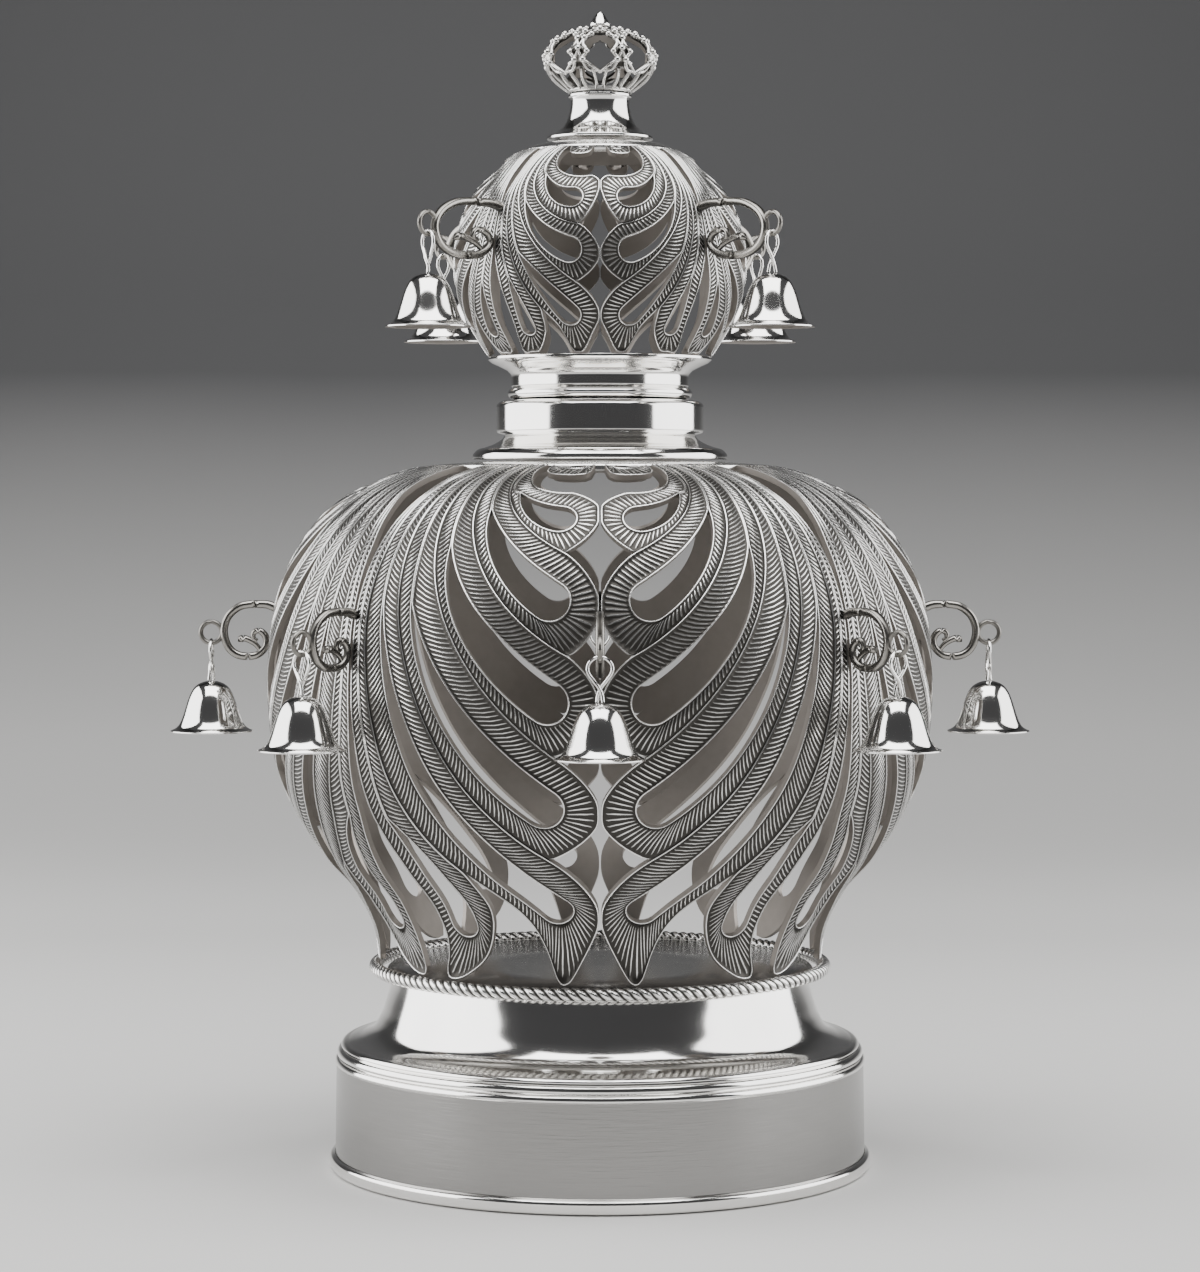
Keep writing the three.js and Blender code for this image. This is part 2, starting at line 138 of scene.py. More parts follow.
class Recipe:
    """A material's node tree, built step by step."""

    def __init__(self, name: str) -> None:
        """Starts a material with a plain Principled shader.

        Args:
            name: The material's name.
        """
        self.material = bpy.data.materials.new(name)
        self.material.use_nodes = True
        self.tree = self.material.node_tree
        self.shader = self.tree.nodes["Principled BSDF"]

    def node(self, kind: str, settings: dict | None = None, inputs: dict | None = None) -> bpy.types.Node:
        """Adds one node.

        Args:
            kind: The node's type.
            settings: Its properties, set before its sockets.
            inputs: Socket names or numbers, with the values or links they take.

        Returns:
            The node.
        """
        made = self.tree.nodes.new(kind)
        for key, value in (settings or {}).items():
            setattr(made, key, value)
        for key, value in (inputs or {}).items():
            self.feed(made.inputs[key], value)
        return made

    def feed(self, socket: bpy.types.NodeSocket, value: object) -> None:
        """Links a socket, or sets its plain value.

        Args:
            socket: The input socket.
            value: A term, an output socket, a number, a colour or a vector.
        """
        if isinstance(value, Term):
            value = value.socket
        if isinstance(value, bpy.types.NodeSocket):
            self.tree.links.new(value, socket)
        else:
            socket.default_value = value

    def attribute(self, name: str) -> Term:
        """The number that the mesh stores at each point under a name."""
        return Term(self, self.node("ShaderNodeAttribute", {"attribute_name": name}).outputs["Fac"])

    def place(self) -> bpy.types.NodeSocket:
        """The position on the piece, in metres."""
        return self.node("ShaderNodeTexCoord").outputs["Object"]

    def noise(self, scale: float, detail: float = 2.0, stretch: Colour = (1.0, 1.0, 1.0)) -> Term:
        """Soft cloudy variation between 0 and 1.

        Args:
            scale: How many patches there are to a metre.
            detail: How much finer variation is laid over it.
            stretch: How much denser it is along X, Y and Z.

        Returns:
            The variation.
        """
        scaled = self.node("ShaderNodeVectorMath", {"operation": "MULTIPLY"}, {0: self.place(), 1: stretch})
        inputs = {"Vector": scaled.outputs[0], "Scale": scale, "Detail": detail}
        return Term(self, self.node("ShaderNodeTexNoise", None, inputs).outputs["Fac"])

    def blend(self, factor: Term, low: Colour, high: Colour) -> bpy.types.NodeSocket:
        """A colour between two others.

        Args:
            factor: 0 for the first colour, 1 for the second.
            low: The first colour.
            high: The second colour.

        Returns:
            The mixed colour.
        """
        settings = {"data_type": "RGBA", "clamp_factor": True}
        mix = self.node("ShaderNodeMix", settings, {0: factor, 6: (*low, 1.0), 7: (*high, 1.0)})
        return mix.outputs[2]

    def bump(self, height: Term, strength: float, distance: float) -> None:
        """Feeds the shader's normal from a height.

        Args:
            height: The height, between 0 and 1.
            strength: How much of it shows.
            distance: What a height of 1 measures, in metres.
        """
        inputs = {"Height": height, "Strength": strength, "Distance": distance}
        self.feed(self.shader.inputs["Normal"], self.node("ShaderNodeBump", None, inputs).outputs[0])

    def set(self, **sockets: object) -> None:
        """Sets or links the shader's sockets, named in lower case with underscores."""
        for key, value in sockets.items():
            self.feed(self.shader.inputs[key.replace("_", " ").title()], value)


# ---- Finishes ----
@dataclass(frozen=True)
class Polished:
    """Mirror-bright silver with the faint haze of handling."""

    name: str = "mirror_polished_silver"
    bright: Colour = (0.9, 0.89, 0.87)
    dull: Colour = (0.74, 0.72, 0.69)
    roughness: float = 0.07

    def make(self) -> Material:
        """The material."""
        recipe = Recipe(self.name)
        haze = recipe.noise(38, 3)
        fine = recipe.noise(420, 2)
        colour = recipe.blend((haze - 0.35) * 1.2, self.bright, self.dull)
        recipe.set(base_color=colour, metallic=1.0)
        recipe.set(roughness=self.roughness + haze * 0.05 + fine * 0.025)
        recipe.bump(haze, 0.05, 0.0006)
        return recipe.material


@dataclass(frozen=True)
class Satin:
    """Silver rubbed to a soft sheen, with fine lines that run round the piece. Its colour is held dark as a
    painted dark reflection.
    """

    name: str = "satin_silver_painted_dark_reflection"
    # Both colours are painted dark reflection: far below bright silver, they stand in for the dark room that
    # the band reflects. The mix of rubbed lines and patches between them is real finish.
    light: Colour = (0.36, 0.355, 0.345)
    deep: Colour = (0.26, 0.255, 0.247)
    roughness: float = 0.15

    def make(self) -> Material:
        """The material."""
        recipe = Recipe(self.name)
        rubbed = recipe.noise(90, 4, (1.0, 1.0, 22.0))
        patches = recipe.noise(16, 2)
        colour = recipe.blend(rubbed * 0.6 + patches * 0.4, self.deep, self.light)
        recipe.set(base_color=colour, metallic=1.0)
        recipe.set(roughness=self.roughness + rubbed * 0.07 + patches * 0.05)
        recipe.bump(rubbed, 0.12, 0.0003)
        return recipe.material


@dataclass(frozen=True)
class Chased:
    """Chased silver: bright where the work stands proud, darkened where it is sunk."""

    name: str = "chased_silver_relief"
    crest: Colour = (0.95, 0.94, 0.92)
    ground: Colour = (0.055, 0.052, 0.048)
    low: float = 0.32
    high: float = 0.8
    grime: float = 0.25
    wear: float = 0.2

    def make(self) -> Material:
        """The material."""
        recipe = Recipe(self.name)
        relief = recipe.attribute("relief")
        grime = recipe.noise(600, 3)
        wear = recipe.noise(45, 2)
        worn = relief + (grime - 0.5) * self.grime + (wear - 0.5) * self.wear
        proud = ((worn - self.low) / (self.high - self.low)).clamped()
        recipe.set(base_color=recipe.blend(proud, self.ground, self.crest))
        recipe.set(metallic=1.0, roughness=0.46 - proud * 0.28 + grime * 0.05)
        recipe.bump(grime, 0.15, 0.0002)
        return recipe.material


@dataclass(frozen=True)
class Lining:
    """The unpolished inside of the sheet, with a warm brown tarnish."""

    name: str = "tarnished_inside"
    light: Colour = (0.34, 0.315, 0.29)
    deep: Colour = (0.2, 0.18, 0.16)
    roughness: float = 0.42

    def make(self) -> Material:
        """The material."""
        recipe = Recipe(self.name)
        cloud = recipe.noise(30, 4)
        fine = recipe.noise(300, 3)
        recipe.set(base_color=recipe.blend(cloud * 0.7 + fine * 0.3, self.deep, self.light))
        recipe.set(metallic=0.85, roughness=self.roughness + cloud * 0.15)
        recipe.bump(fine, 0.1, 0.0002)
        return recipe.material


@dataclass(frozen=True)
class Paper:
    """The matt paper of the studio: pale on the floor, with painted shade that turns it deeper grey as it
    rises behind.
    """

    name: str = "studio_paper_with_painted_shade"
    floor: Colour = (0.58, 0.575, 0.565)
    # The deep grey of the upper sweep is painted shade, not a second paper.
    painted_shade_wall: Colour = (0.075, 0.075, 0.077)
    fade: float = 3.2

    def make(self) -> Material:
        """The material."""
        recipe = Recipe(self.name)
        tone = recipe.noise(6, 2)
        height = Term(recipe, recipe.node("ShaderNodeSeparateXYZ", None, {0: recipe.place()}).outputs["Z"])
        # Painted shade: the colour darkens with height, standing in for the light falling off up the sweep.
        # The small noise is real tone.
        rise = (height * self.fade + tone * 0.03).clamped()
        recipe.set(base_color=recipe.blend(rise, self.floor, self.painted_shade_wall), roughness=0.85)
        return recipe.material


@dataclass(frozen=True)
class Finishes:
    """The crown's materials."""

    bright: Material
    # The satin finish holds a painted dark reflection in its colour.
    satin: Material
    chased: Material
    lining: Material
    darkened: Material
    openwork: Material


class Piece(ABC):
    """A part of the crown that is built over its solids."""

    @abstractmethod
    def build(self, finishes: Finishes) -> None:
        """Builds the part and puts it in the frame.

        Args:
            finishes: The crown's materials.
        """


# ---- Curves and sheets ----
def bezier(points: Sequence[Pair], t: Array) -> Array:
    """Places along a Bezier curve.

    Args:
        points: Its control points.
        t: How far along it each place is, from 0 to 1.

    Returns:
        One row for each value of t.
    """
    rows = [np.broadcast_to(np.array(point, dtype=float), (len(t), len(point))) for point in points]
    share = t[:, None]
    while len(rows) > 1:
        rows = [a + (b - a) * share for a, b in zip(rows, rows[1:])]
    return rows[0]


def through(points: Sequence[Sequence[float]], count: int) -> Array:
    """A smooth curve through points.

    Args:
        points: The points, of any dimension.
        count: How many places to give between each two.

    Returns:
        The places, from the first point to the last.
    """
    ends = np.array(points, dtype=float)
    padded = np.vstack([2 * ends[0] - ends[1], ends, 2 * ends[-1] - ends[-2]])
    share = np.linspace(0, 1, count, endpoint=False)[:, None]
    runs = []
    for a, b, c, d in zip(padded, padded[1:], padded[2:], padded[3:]):
        bend = (2 * a - 5 * b + 4 * c - d) * share**2 + (3 * b - a - 3 * c + d) * share**3
        runs.append(b + ((c - a) * share + bend) / 2)
    return np.vstack([*runs, ends[-1:]])


def filleted(points: Sequence[Pair], radius: float) -> Array:
    """A line with its corners rounded.

    Args:
        points: The line's corners.
        radius: How far from each corner the rounding starts.

    Returns:
        The rounded line.
    """
    ends = np.array(points, dtype=float)
    made = [ends[0]]
    for before, corner, after in zip(ends, ends[1:], ends[2:]):
        back, on = before - corner, after - corner
        lengths = np.hypot(*back), np.hypot(*on)
        back, on = back / lengths[0], on / lengths[1]
        if np.dot(back, on) < STRAIGHT:
            made.append(corner)
            continue
        start = min(radius, lengths[0] * FILLET_SHARE, lengths[1] * FILLET_SHARE)
        bend = [corner + back * start, corner, corner + on * start]
        arc = bezier(bend, np.linspace(0, 1, FILLET_STEPS))
        made.extend([corner + back * start * FILLET_LEAD, *arc, corner + on * start * FILLET_LEAD])
    return np.vstack([*made, ends[-1]])


def lengths_along(points: Array) -> Array:
    """How far along a line each of its points is."""
    return np.concatenate([[0.0], np.cumsum(np.linalg.norm(np.diff(points, axis=0), axis=1))])


def at_lengths(points: Array, reach: Array, wanted: Array) -> Array:
    """Places on a line at given lengths along it.

    Args:
        points: The line.
        reach: How far along it each point is.
        wanted: The lengths.

    Returns:
        One place for each length.
    """
    return np.stack([np.interp(wanted, reach, column) for column in points.T], axis=-1)


class Sheets:
    """A mesh gathered grid by grid, in millimetres, with the height of its relief at each point."""

    def __init__(self) -> None:
        """Starts with nothing."""
        self.points: list[Array] = []
        self.faces: list[Array] = []
        self.relief: list[Array] = []
        self.finish: list[Array] = []
        self.count = 0

    def grid(
        self,
        points: Array,
        relief: Array | float = 1.0,
        finish: int = 0,
        round_rows: bool = False,
        round_columns: bool = False,
        flipped: bool = False,
    ) -> None:
        """Adds one sheet.

        Args:
            points: Its points, row by row, in an array of rows, columns and 3.
            relief: The height of the relief, one number or one for each point.
            finish: Which of the piece's finishes it has.
            round_rows: Whether the last row joins the first.
            round_columns: Whether the last column joins the first.
            flipped: Whether its faces are turned over.
        """
        rows, columns = points.shape[:2]
        numbers = np.arange(rows * columns).reshape(rows, columns) + self.count
        if round_rows:
            numbers = np.vstack([numbers, numbers[:1]])
        if round_columns:
            numbers = np.hstack([numbers, numbers[:, :1]])
        corners = [numbers[:-1, :-1], numbers[:-1, 1:], numbers[1:, 1:], numbers[1:, :-1]]
        quads = np.stack([corner.ravel() for corner in corners], axis=1)
        self.faces.append(quads[:, ::-1] if flipped else quads)
        self.points.append(points.reshape(-1, 3))
        self.relief.append(np.broadcast_to(relief, points.shape[:2]).reshape(-1))
        self.finish.append(np.full(len(quads), finish))
        self.count += rows * columns

    def turn(
        self, profile: Array, segments: int, finish: int = 0, centre: Pair = (0.0, 0.0), flipped: bool = False
    ) -> None:
        """Adds a turned sheet.

        Args:
            profile: Its outline, as radius and height.
            segments: How many steps go round it.
            finish: Which of the piece's finishes it has.
            centre: Where its axis stands.
            flipped: Whether its faces are turned over.
        """
        self.grid(turned(profile, segments, centre), 1, finish, round_columns=True, flipped=flipped)

    def build(self, name: str, materials: Sequence[Material]) -> bpy.types.Object:
        """Makes the object.

        Args:
            name: The object's name.
            materials: Its finishes, in order.

        Returns:
            The object, in metres.
        """
        mesh = bpy.data.meshes.new(name)
        mesh.from_pydata((np.vstack(self.points) * MM).tolist(), [], np.vstack(self.faces).tolist())
        relief = mesh.attributes.new("relief", "FLOAT", "POINT")
        relief.data.foreach_set("value", np.concatenate(self.relief).astype(np.float32))
        mesh.polygons.foreach_set("material_index", np.concatenate(self.finish).astype(np.int32))
        mesh.shade_smooth()
        for material in materials:
            mesh.materials.append(material)
        made = bpy.data.objects.new(name, mesh)
        bpy.context.scene.collection.objects.link(made)
        return made


def turned(profile: Array, segments: int, centre: Pair = (0.0, 0.0)) -> Array:
    """The points of a turned surface.

    Args:
        profile: Its outline, as radius and height.
        segments: How many steps go round it.
        centre: Where its axis stands.

    Returns:
        The points, in an array of outline points, steps and 3.
    """
    angle = np.linspace(0, CIRCLE, segments, endpoint=False)
    x = centre[0] + profile[:, :1] * np.sin(angle)
    y = centre[1] - profile[:, :1] * np.cos(angle)
    return np.stack([x, y, np.broadcast_to(profile[:, 1:], x.shape)], axis=-1)


def swept(path: Array, section: Array, up: Sequence[float], swell: Array | float = 1.0) -> Array:
    """The points of a bar along a path that lies near a plane.

    Args:
        path: The path's points.
        section: The bar's section, as distances across the plane and within it.
        up: The direction across the plane.
        swell: How much the section grows, one number or one for each point.

    Returns:
        The points, in an array of path points, section points and 3.
    """
    along = np.gradient(path, axis=0)
    along /= np.linalg.norm(along, axis=1)[:, None]
    within = np.cross(along, np.array(up, dtype=float))
    within /= np.linalg.norm(within, axis=1)[:, None]
    across = np.cross(within, along)
    growth = np.broadcast_to(swell, len(path))[:, None, None]
    spread = section[None, :, :1] * across[:, None] + section[None, :, 1:] * within[:, None]
    return path[:, None] + growth * spread


def oval(width: float, depth: float, sides: int) -> Array:
    """An oval section.

    Args:
        width: Its half width.
        depth: Its half depth.
        sides: How many points it has.

    Returns:
        The points.
    """
    angle = np.linspace(0, CIRCLE, sides, endpoint=False)
    return np.stack([width * np.cos(angle), depth * np.sin(angle)], axis=1)


def dressed(made: bpy.types.Object, slot: Slot, *nodes: str) -> None:
    """Puts a piece in the frame, in place of its solids, and reports it.

    Args:
        made: The piece.
        slot: The record's slot; not used.
        nodes: The solids that it stands for.
    """
    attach(made, "root")
    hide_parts(*nodes)
    log.info("%s: %d faces, for %s", made.name, len(made.data.polygons), ", ".join(nodes))


def box_mm(node: str) -> tuple[Array, Array]:
    """The lowest and highest corners of a solid, in millimetres."""
    low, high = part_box(node)
    return np.array(low) / MM, np.array(high) / MM


# ---- Openwork skins ----
class Skin:
    """A turned skin, measured by the angle round it and the length up it."""

    def __init__(self, profile: Sequence[Pair]) -> None:
        """Lays a smooth curve through the profile.

        Args:
            profile: The skin's outline, as radius and height, from its foot up.
        """
        self.knots = np.array(profile, dtype=float)
        self.reach = lengths_along(self.knots)
        self.slopes = np.gradient(self.knots, self.reach, axis=0)
        self.length = float(self.reach[-1])

    def outline(self, s: Array) -> tuple[Array, Array]:
        """Radius and height, and the unit direction upwards, at each length.

        Args:
            s: The lengths up the skin.

        Returns:
            Two arrays, with radius and height in their last axis.
        """
        i = np.clip(np.searchsorted(self.reach, s, side="right") - 1, 0, len(self.reach) - 2)
        span = self.reach[i + 1] - self.reach[i]
        t = ((np.clip(s, 0, self.length) - self.reach[i]) / span)[..., None]
        a, b = self.knots[i], self.knots[i + 1]
        m, n = self.slopes[i] * span[..., None], self.slopes[i + 1] * span[..., None]
        spot = (2 * t**3 - 3 * t**2 + 1) * a + (t**3 - 2 * t**2 + t) * m + (3 * t**2 - 2 * t**3) * b
        spot += (t**3 - t**2) * n
        rise = 6 * (t**2 - t) * (a - b) + (3 * t**2 - 4 * t + 1) * m + (3 * t**2 - 2 * t) * n
        return spot, rise / np.linalg.norm(rise, axis=-1)[..., None]

    def points(
        self, places: Array, depth: Array | float = 0.0, turn: float = 0.0, side: float = 1.0
    ) -> Array:
        """Points at places on the skin.

        Args:
            places: Degrees and lengths in the last axis.
            depth: How far inside the outer face each one is.
            turn: Degrees that all of them are turned by.
            side: 1, or -1 for the mirror image.

        Returns:
            The points.
        """
        spot, rise = self.outline(places[..., 1])
        inward = np.stack([-rise[..., 1], rise[..., 0]], axis=-1)
        spot = spot + inward * np.broadcast_to(depth, spot.shape[:-1])[..., None]
        angle = np.radians(turn + side * places[..., 0])
        return np.stack([spot[..., 0] * np.sin(angle), -spot[..., 0] * np.cos(angle), spot[..., 1]], axis=-1)

    def radius(self, s: Array) -> Array:
        """The skin's radius at each length."""
        return self.outline(s)[0][..., 0]


@dataclass(frozen=True)
class Opening:
    """The teardrop hole inside a loop: its round nose, the bend of its middle line, and its tip."""

    nose: Pair
    bend: Pair
    tip: Pair
    radius: float

    def rim(self, skin: Skin) -> Array:
        """The hole's edge, from the tip by the upper side to the nose and back by the lower side.

        Args:
            skin: The skin that it is cut in.

        Returns:
            Places on the skin.
        """
        t = np.linspace(0, 1, 60)
        spine = bezier([self.nose, self.bend, self.tip], t)
        metres = np.radians(skin.radius(spine[:, 1]))
        slope = np.gradient(spine, axis=0) * np.stack([metres, np.ones_like(metres)], axis=1)
        slope /= np.linalg.norm(slope, axis=1)[:, None]
        normal = np.stack([-slope[:, 1], slope[:, 0]], axis=1)
        width = self.radius * (1 - t**1.6)
        turns = np.linspace(0, math.pi, 24)[1:-1, None]
        cap = self.radius * (np.cos(turns) * normal[0] - np.sin(turns) * slope[0])
        scale = np.stack([1 / metres, np.ones_like(metres)], axis=1)
        upper = spine + normal * width[:, None] * scale
        lower = spine - normal * width[:, None] * scale
        return np.vstack([upper[::-1], spine[0] + cap * scale[0], lower])


@dataclass(frozen=True)
class Loop:
    """One folded rib: where its nose touches its mirror image, and the hole inside it."""

    touch: float
    opening: Opening


@dataclass(frozen=True)
class Column:
    """The folded rib beside a sector's edge: its hole, its foot, and the slit that it leaves."""

    opening: Opening
    foot: Pair
    outer: tuple[Pair, ...]
    inner: tuple[Pair, ...]
    slit: tuple[Pair, ...]


@dataclass(frozen=True)
class Pattern:
    """The openwork of half a sector."""

    rim: float
    lines: tuple[tuple[Pair, ...], ...]
    loops: tuple[Loop, ...]
    contact: float
    last_foot: tuple[Pair, ...]
    column: Column
    hook: tuple[Pair, ...]
    hook_hole: Opening


@dataclass
class Ribbon:
    """One folded rib, as two edges that run side by side from the rim, round its nose and back."""

    outside: Array
    hole: Array
    nose_at: float
    free_before: float
    free_after: float


@dataclass
class Openwork(Piece):
    """A pierced and chased skin of folded ribs, built in quarters."""

    node: str
    profile: tuple[Pair, ...]
    pattern: Pattern
    pitch: float
    border: float
    sheet: float = 2.0
    ground: float = 0.55
    ridge: float = 0.5
    lean: float = 0.85
    bow: float = 0.1
    settle: float = 24.0
    upright: float = 9.0
    turning: float = 22.0
    fading: float = 6.0
    narrow: float = 2.4
    barb_rows: tuple[float, ...] = (0.24, 0.5, 0.76)
    barb_shape: tuple[Pair, ...] = ((0.0, 0.0), (0.16, 0.7), (0.5, 1.0), (0.86, 0.8), (1.0, 0.0))
    axis_gap: float = 0.2
    skin: Skin = field(init=False)

    def __post_init__(self) -> None:
        """Lays out the skin."""
        self.skin = Skin(self.profile)

    def _crossing(self, line: Sequence[Pair], s: Array) -> Array:
        """The angle at which a rising line crosses each height."""
        places = bezier(line, np.linspace(0, 1, 200))
        return np.interp(s, places[:, 1], places[:, 0])

    def _seam(self, opening: Opening, left: Array, right: Array, s: Array) -> Array:
        """The line where a rib's two limbs meet above its hole.

        Args:
            opening: The hole.
            left: The angle of the rib's one edge at each height.
            right: The angle of its other edge.
            s: The heights, from the hole's tip up.

        Returns:
            The seam's places, from the tip up.
        """
        middle = (left + right) / 2
        settle = np.clip(1 - (s - s[0]) / self.settle, 0, 1) ** 2
        return np.stack([middle + (opening.tip[0] - middle[0]) * settle, s], axis=1)

    def _around(self, opening: Opening, seam: Array) -> Array:
        """A rib's inner edge: down the seam, round the hole and up the seam again."""
        return np.vstack([seam[::-1], opening.rim(self.skin)[1:-1], seam])

    def _nose(self, touch: Pair, foot: Pair) -> Array:
        """The free nose of a rib, from where it touches its mirror image to the foot of a line."""
        bend = (0.3 * foot[0], touch[1] + 0.6 * (foot[1] - touch[1]))
        return bezier([touch, bend, foot], np.linspace(0, 1, 40))

    def _reach(self, places: Array) -> Array:
        """How far along the skin each place of a line is, in millimetres."""
        return lengths_along(self.skin.points(places))

    def _ribbon(
        self, descent: Array, middle: Array, ascent: Array, hole: Array, free: tuple[bool, bool]
    ) -> Ribbon:
        """Joins the edges of one rib.

        Args:
            descent: The outer edge from the rim to the nose.
            middle: The nose itself.
            ascent: The outer edge from the nose to the rim.
            hole: The inner edge.
            free: Whether the descent and the ascent are open edges, with no rib beside them.

        Returns:
            The ribbon.
        """
        outside = np.vstack([descent, middle[1:-1], ascent])
        reach = self._reach(outside)
        start, stop = reach[len(descent) - 1], reach[len(descent) + len(middle) - 3]
        even = np.linspace(0, reach[-1], 500)
        places = at_lengths(outside, reach, even)
        half = 6
        kernel = np.hanning(2 * half + 1)
        kernel /= kernel.sum()
        wide = np.vstack([np.repeat(places[:1], half, axis=0), places, np.repeat(places[-1:], half, axis=0)])
        smooth = np.stack([np.convolve(column, kernel, mode="valid") for column in wide.T], axis=1)
        smooth[0], smooth[-1] = places[0], places[-1]
        before = reach[-1] if free[0] else (stop - start) / 2
        after = reach[-1] if free[1] else (stop - start) / 2
        return Ribbon(smooth, hole, (start + stop) / 2, before, after)

    def ribbons(self) -> list[Ribbon]:
        """The folded ribs of half a sector, from its axis to its edge."""
        pattern = self.pattern
        climb = np.linspace(0, 1, 160)
        rising = [bezier(line, climb) for line in pattern.lines]
        made = []
        for i, loop in enumerate(pattern.loops):
            tip = loop.opening.tip[1]
            s = np.linspace(tip, pattern.rim, 60)
            left, right = (self._crossing(pattern.lines[j], s) for j in (i, i + 1))
            hole = self._around(loop.opening, self._seam(loop.opening, left, right, s))
            high, low = ((self.axis_gap, loop.touch + way * pattern.contact) for way in (1, -1))
            upper = self._nose(high, pattern.lines[i][0])
            if i == len(pattern.loops) - 1:
                lower = through([low, *pattern.last_foot, pattern.lines[i + 1][0]], 16)
            else:
                lower = self._nose(low, pattern.lines[i + 1][0])
            middle = np.vstack([upper[::-1], lower])
            made.append(self._ribbon(rising[i][::-1], middle, rising[i + 1], hole, (i == 0, False)))

        column = pattern.column
        s = np.linspace(column.opening.tip[1], pattern.rim, 60)
        heights = np.array([height for height, _ in column.slit])
        gaps = np.array([gap for _, gap in column.slit])
        edge = HALF_SECTOR - np.interp(s, heights, gaps)
        seam = self._seam(column.opening, self._crossing(pattern.lines[-1], s), edge, s)
        up = np.linspace(heights[0], pattern.rim, 120)
        slit = np.stack([HALF_SECTOR - np.interp(up, heights, gaps), up], axis=1)
        middle = through([pattern.lines[-1][0], *column.outer[::-1], column.foot, *column.inner, slit[0]], 16)
        hole = self._around(column.opening, seam)
        made.append(self._ribbon(rising[-1][::-1], middle, slit, hole, (False, True)))

        hook = through(pattern.hook, 20)
        rim = pattern.hook_hole.rim(self.skin)
        made.append(Ribbon(hook, rim, self._reach(hook)[-1] / 2, 1e3, 1e3))
        return made

    def _rows(self, ribbon: Ribbon) -> tuple[Array, Array, Array, Array, Array]:
        """Pairs each barb's end on the outer edge with its end on the inner one.

        Args:
            ribbon: The rib.

        Returns:
            Lengths along the outer edge and along the inner one, their distance, how far each row leans, and
            1 for a row on a barb's crest or 0 for one beside it.
        """
        inner_reach = self._reach(ribbon.hole)
        inner = np.linspace(0, inner_reach[-1], 600)
        outer_reach = self._reach(ribbon.outside)
        outer = np.linspace(0, outer_reach[-1], 500)
        here = self.skin.points(at_lengths(ribbon.outside, outer_reach, outer))
        there = self.skin.points(at_lengths(ribbon.hole, inner_reach, inner))
        apart = np.linalg.norm(here[:, None] - there[None], axis=2)
        far_side = (outer[:, None] < ribbon.nose_at) != (inner[None] < inner_reach[len(inner_reach) // 2])
        apart = np.where(far_side, np.inf, apart)
        nearest = inner[np.maximum.accumulate(np.argmin(apart, axis=1))]
        half = 12
        kernel = np.ones(2 * half + 1) / (2 * half + 1)
        nearest = np.convolve(np.pad(nearest, half, mode="edge"), kernel, mode="valid")
        width = apart.min(axis=1)

        beyond = outer - ribbon.nose_at
        ramp = np.clip((np.abs(beyond) - self.upright) / self.turning, 0, 1) * np.sign(beyond) * self.lean
        pair = np.clip(nearest + ramp * width, 0, inner[-1])
        pair = np.maximum.accumulate(pair)
        pair[0], pair[-1] = 0, inner[-1]
        along = (outer + pair) / 2
        barbs = max(round(along[-1] / self.pitch), 4)
        steps = (np.arange(barbs)[:, None] + np.array(self.barb_rows)).ravel() / barbs * along[-1]
        steps = np.concatenate([[0.0], steps, [along[-1]]])
        crest = np.concatenate([[0.0], np.tile([0.0, 1.0, 0.0], barbs), [0.0]])
        a, b = (np.interp(steps, along, values) for values in (outer, pair))
        return a, b, np.interp(steps, along, width), np.interp(steps, along, ramp), crest

    def _lay(self, sheets: Sheets, ribbon: Ribbon, copies: Iterable[tuple[float, float]]) -> None:
        """Adds one rib, chased with barbs between two raised borders.

        Args:
            sheets: What it is added to.
            ribbon: The rib.
            copies: The turn and side of each copy.
        """
        a, b, width, lean, crest = self._rows(ribbon)
        outer_reach, inner_reach = self._reach(ribbon.outside), self._reach(ribbon.hole)
        slant = width * np.sqrt(1 + lean**2) + 1e-6
        share = np.clip(self.border * np.sqrt(1 + lean**2) / slant, 0, 0.2)
        beyond = a - ribbon.nose_at
        clear = np.where(beyond < 0, ribbon.free_before, ribbon.free_after)
        beside = np.clip((np.abs(beyond) - clear) / 4 + 0.5, 0, 1)
        ends = np.clip(np.minimum(a - a[0], a[-1] - a) / self.fading, 0, 1)
        fade = ends * np.clip(width / self.narrow, 0, 1)

        zero = np.zeros_like(a)
        edge_depth = 0.25 + beside * (self.ground * 1.6 - 0.25)
        plain = beside * (beyond > 0)
        columns = [
            (zero, edge_depth, 0.45 - 0.4 * beside),
            (share * 0.45, self.ground * plain, 1 - 0.95 * plain),
        ]
        for at, height in self.barb_shape:
            rise = crest * fade * height
            columns.append((share + (1 - 2 * share) * at, self.ground - self.ridge * rise, rise * 0.95))
        columns += [(1 - share * 0.45, zero, zero + 1), (zero + 1, zero + 0.25, zero + 0.45)]

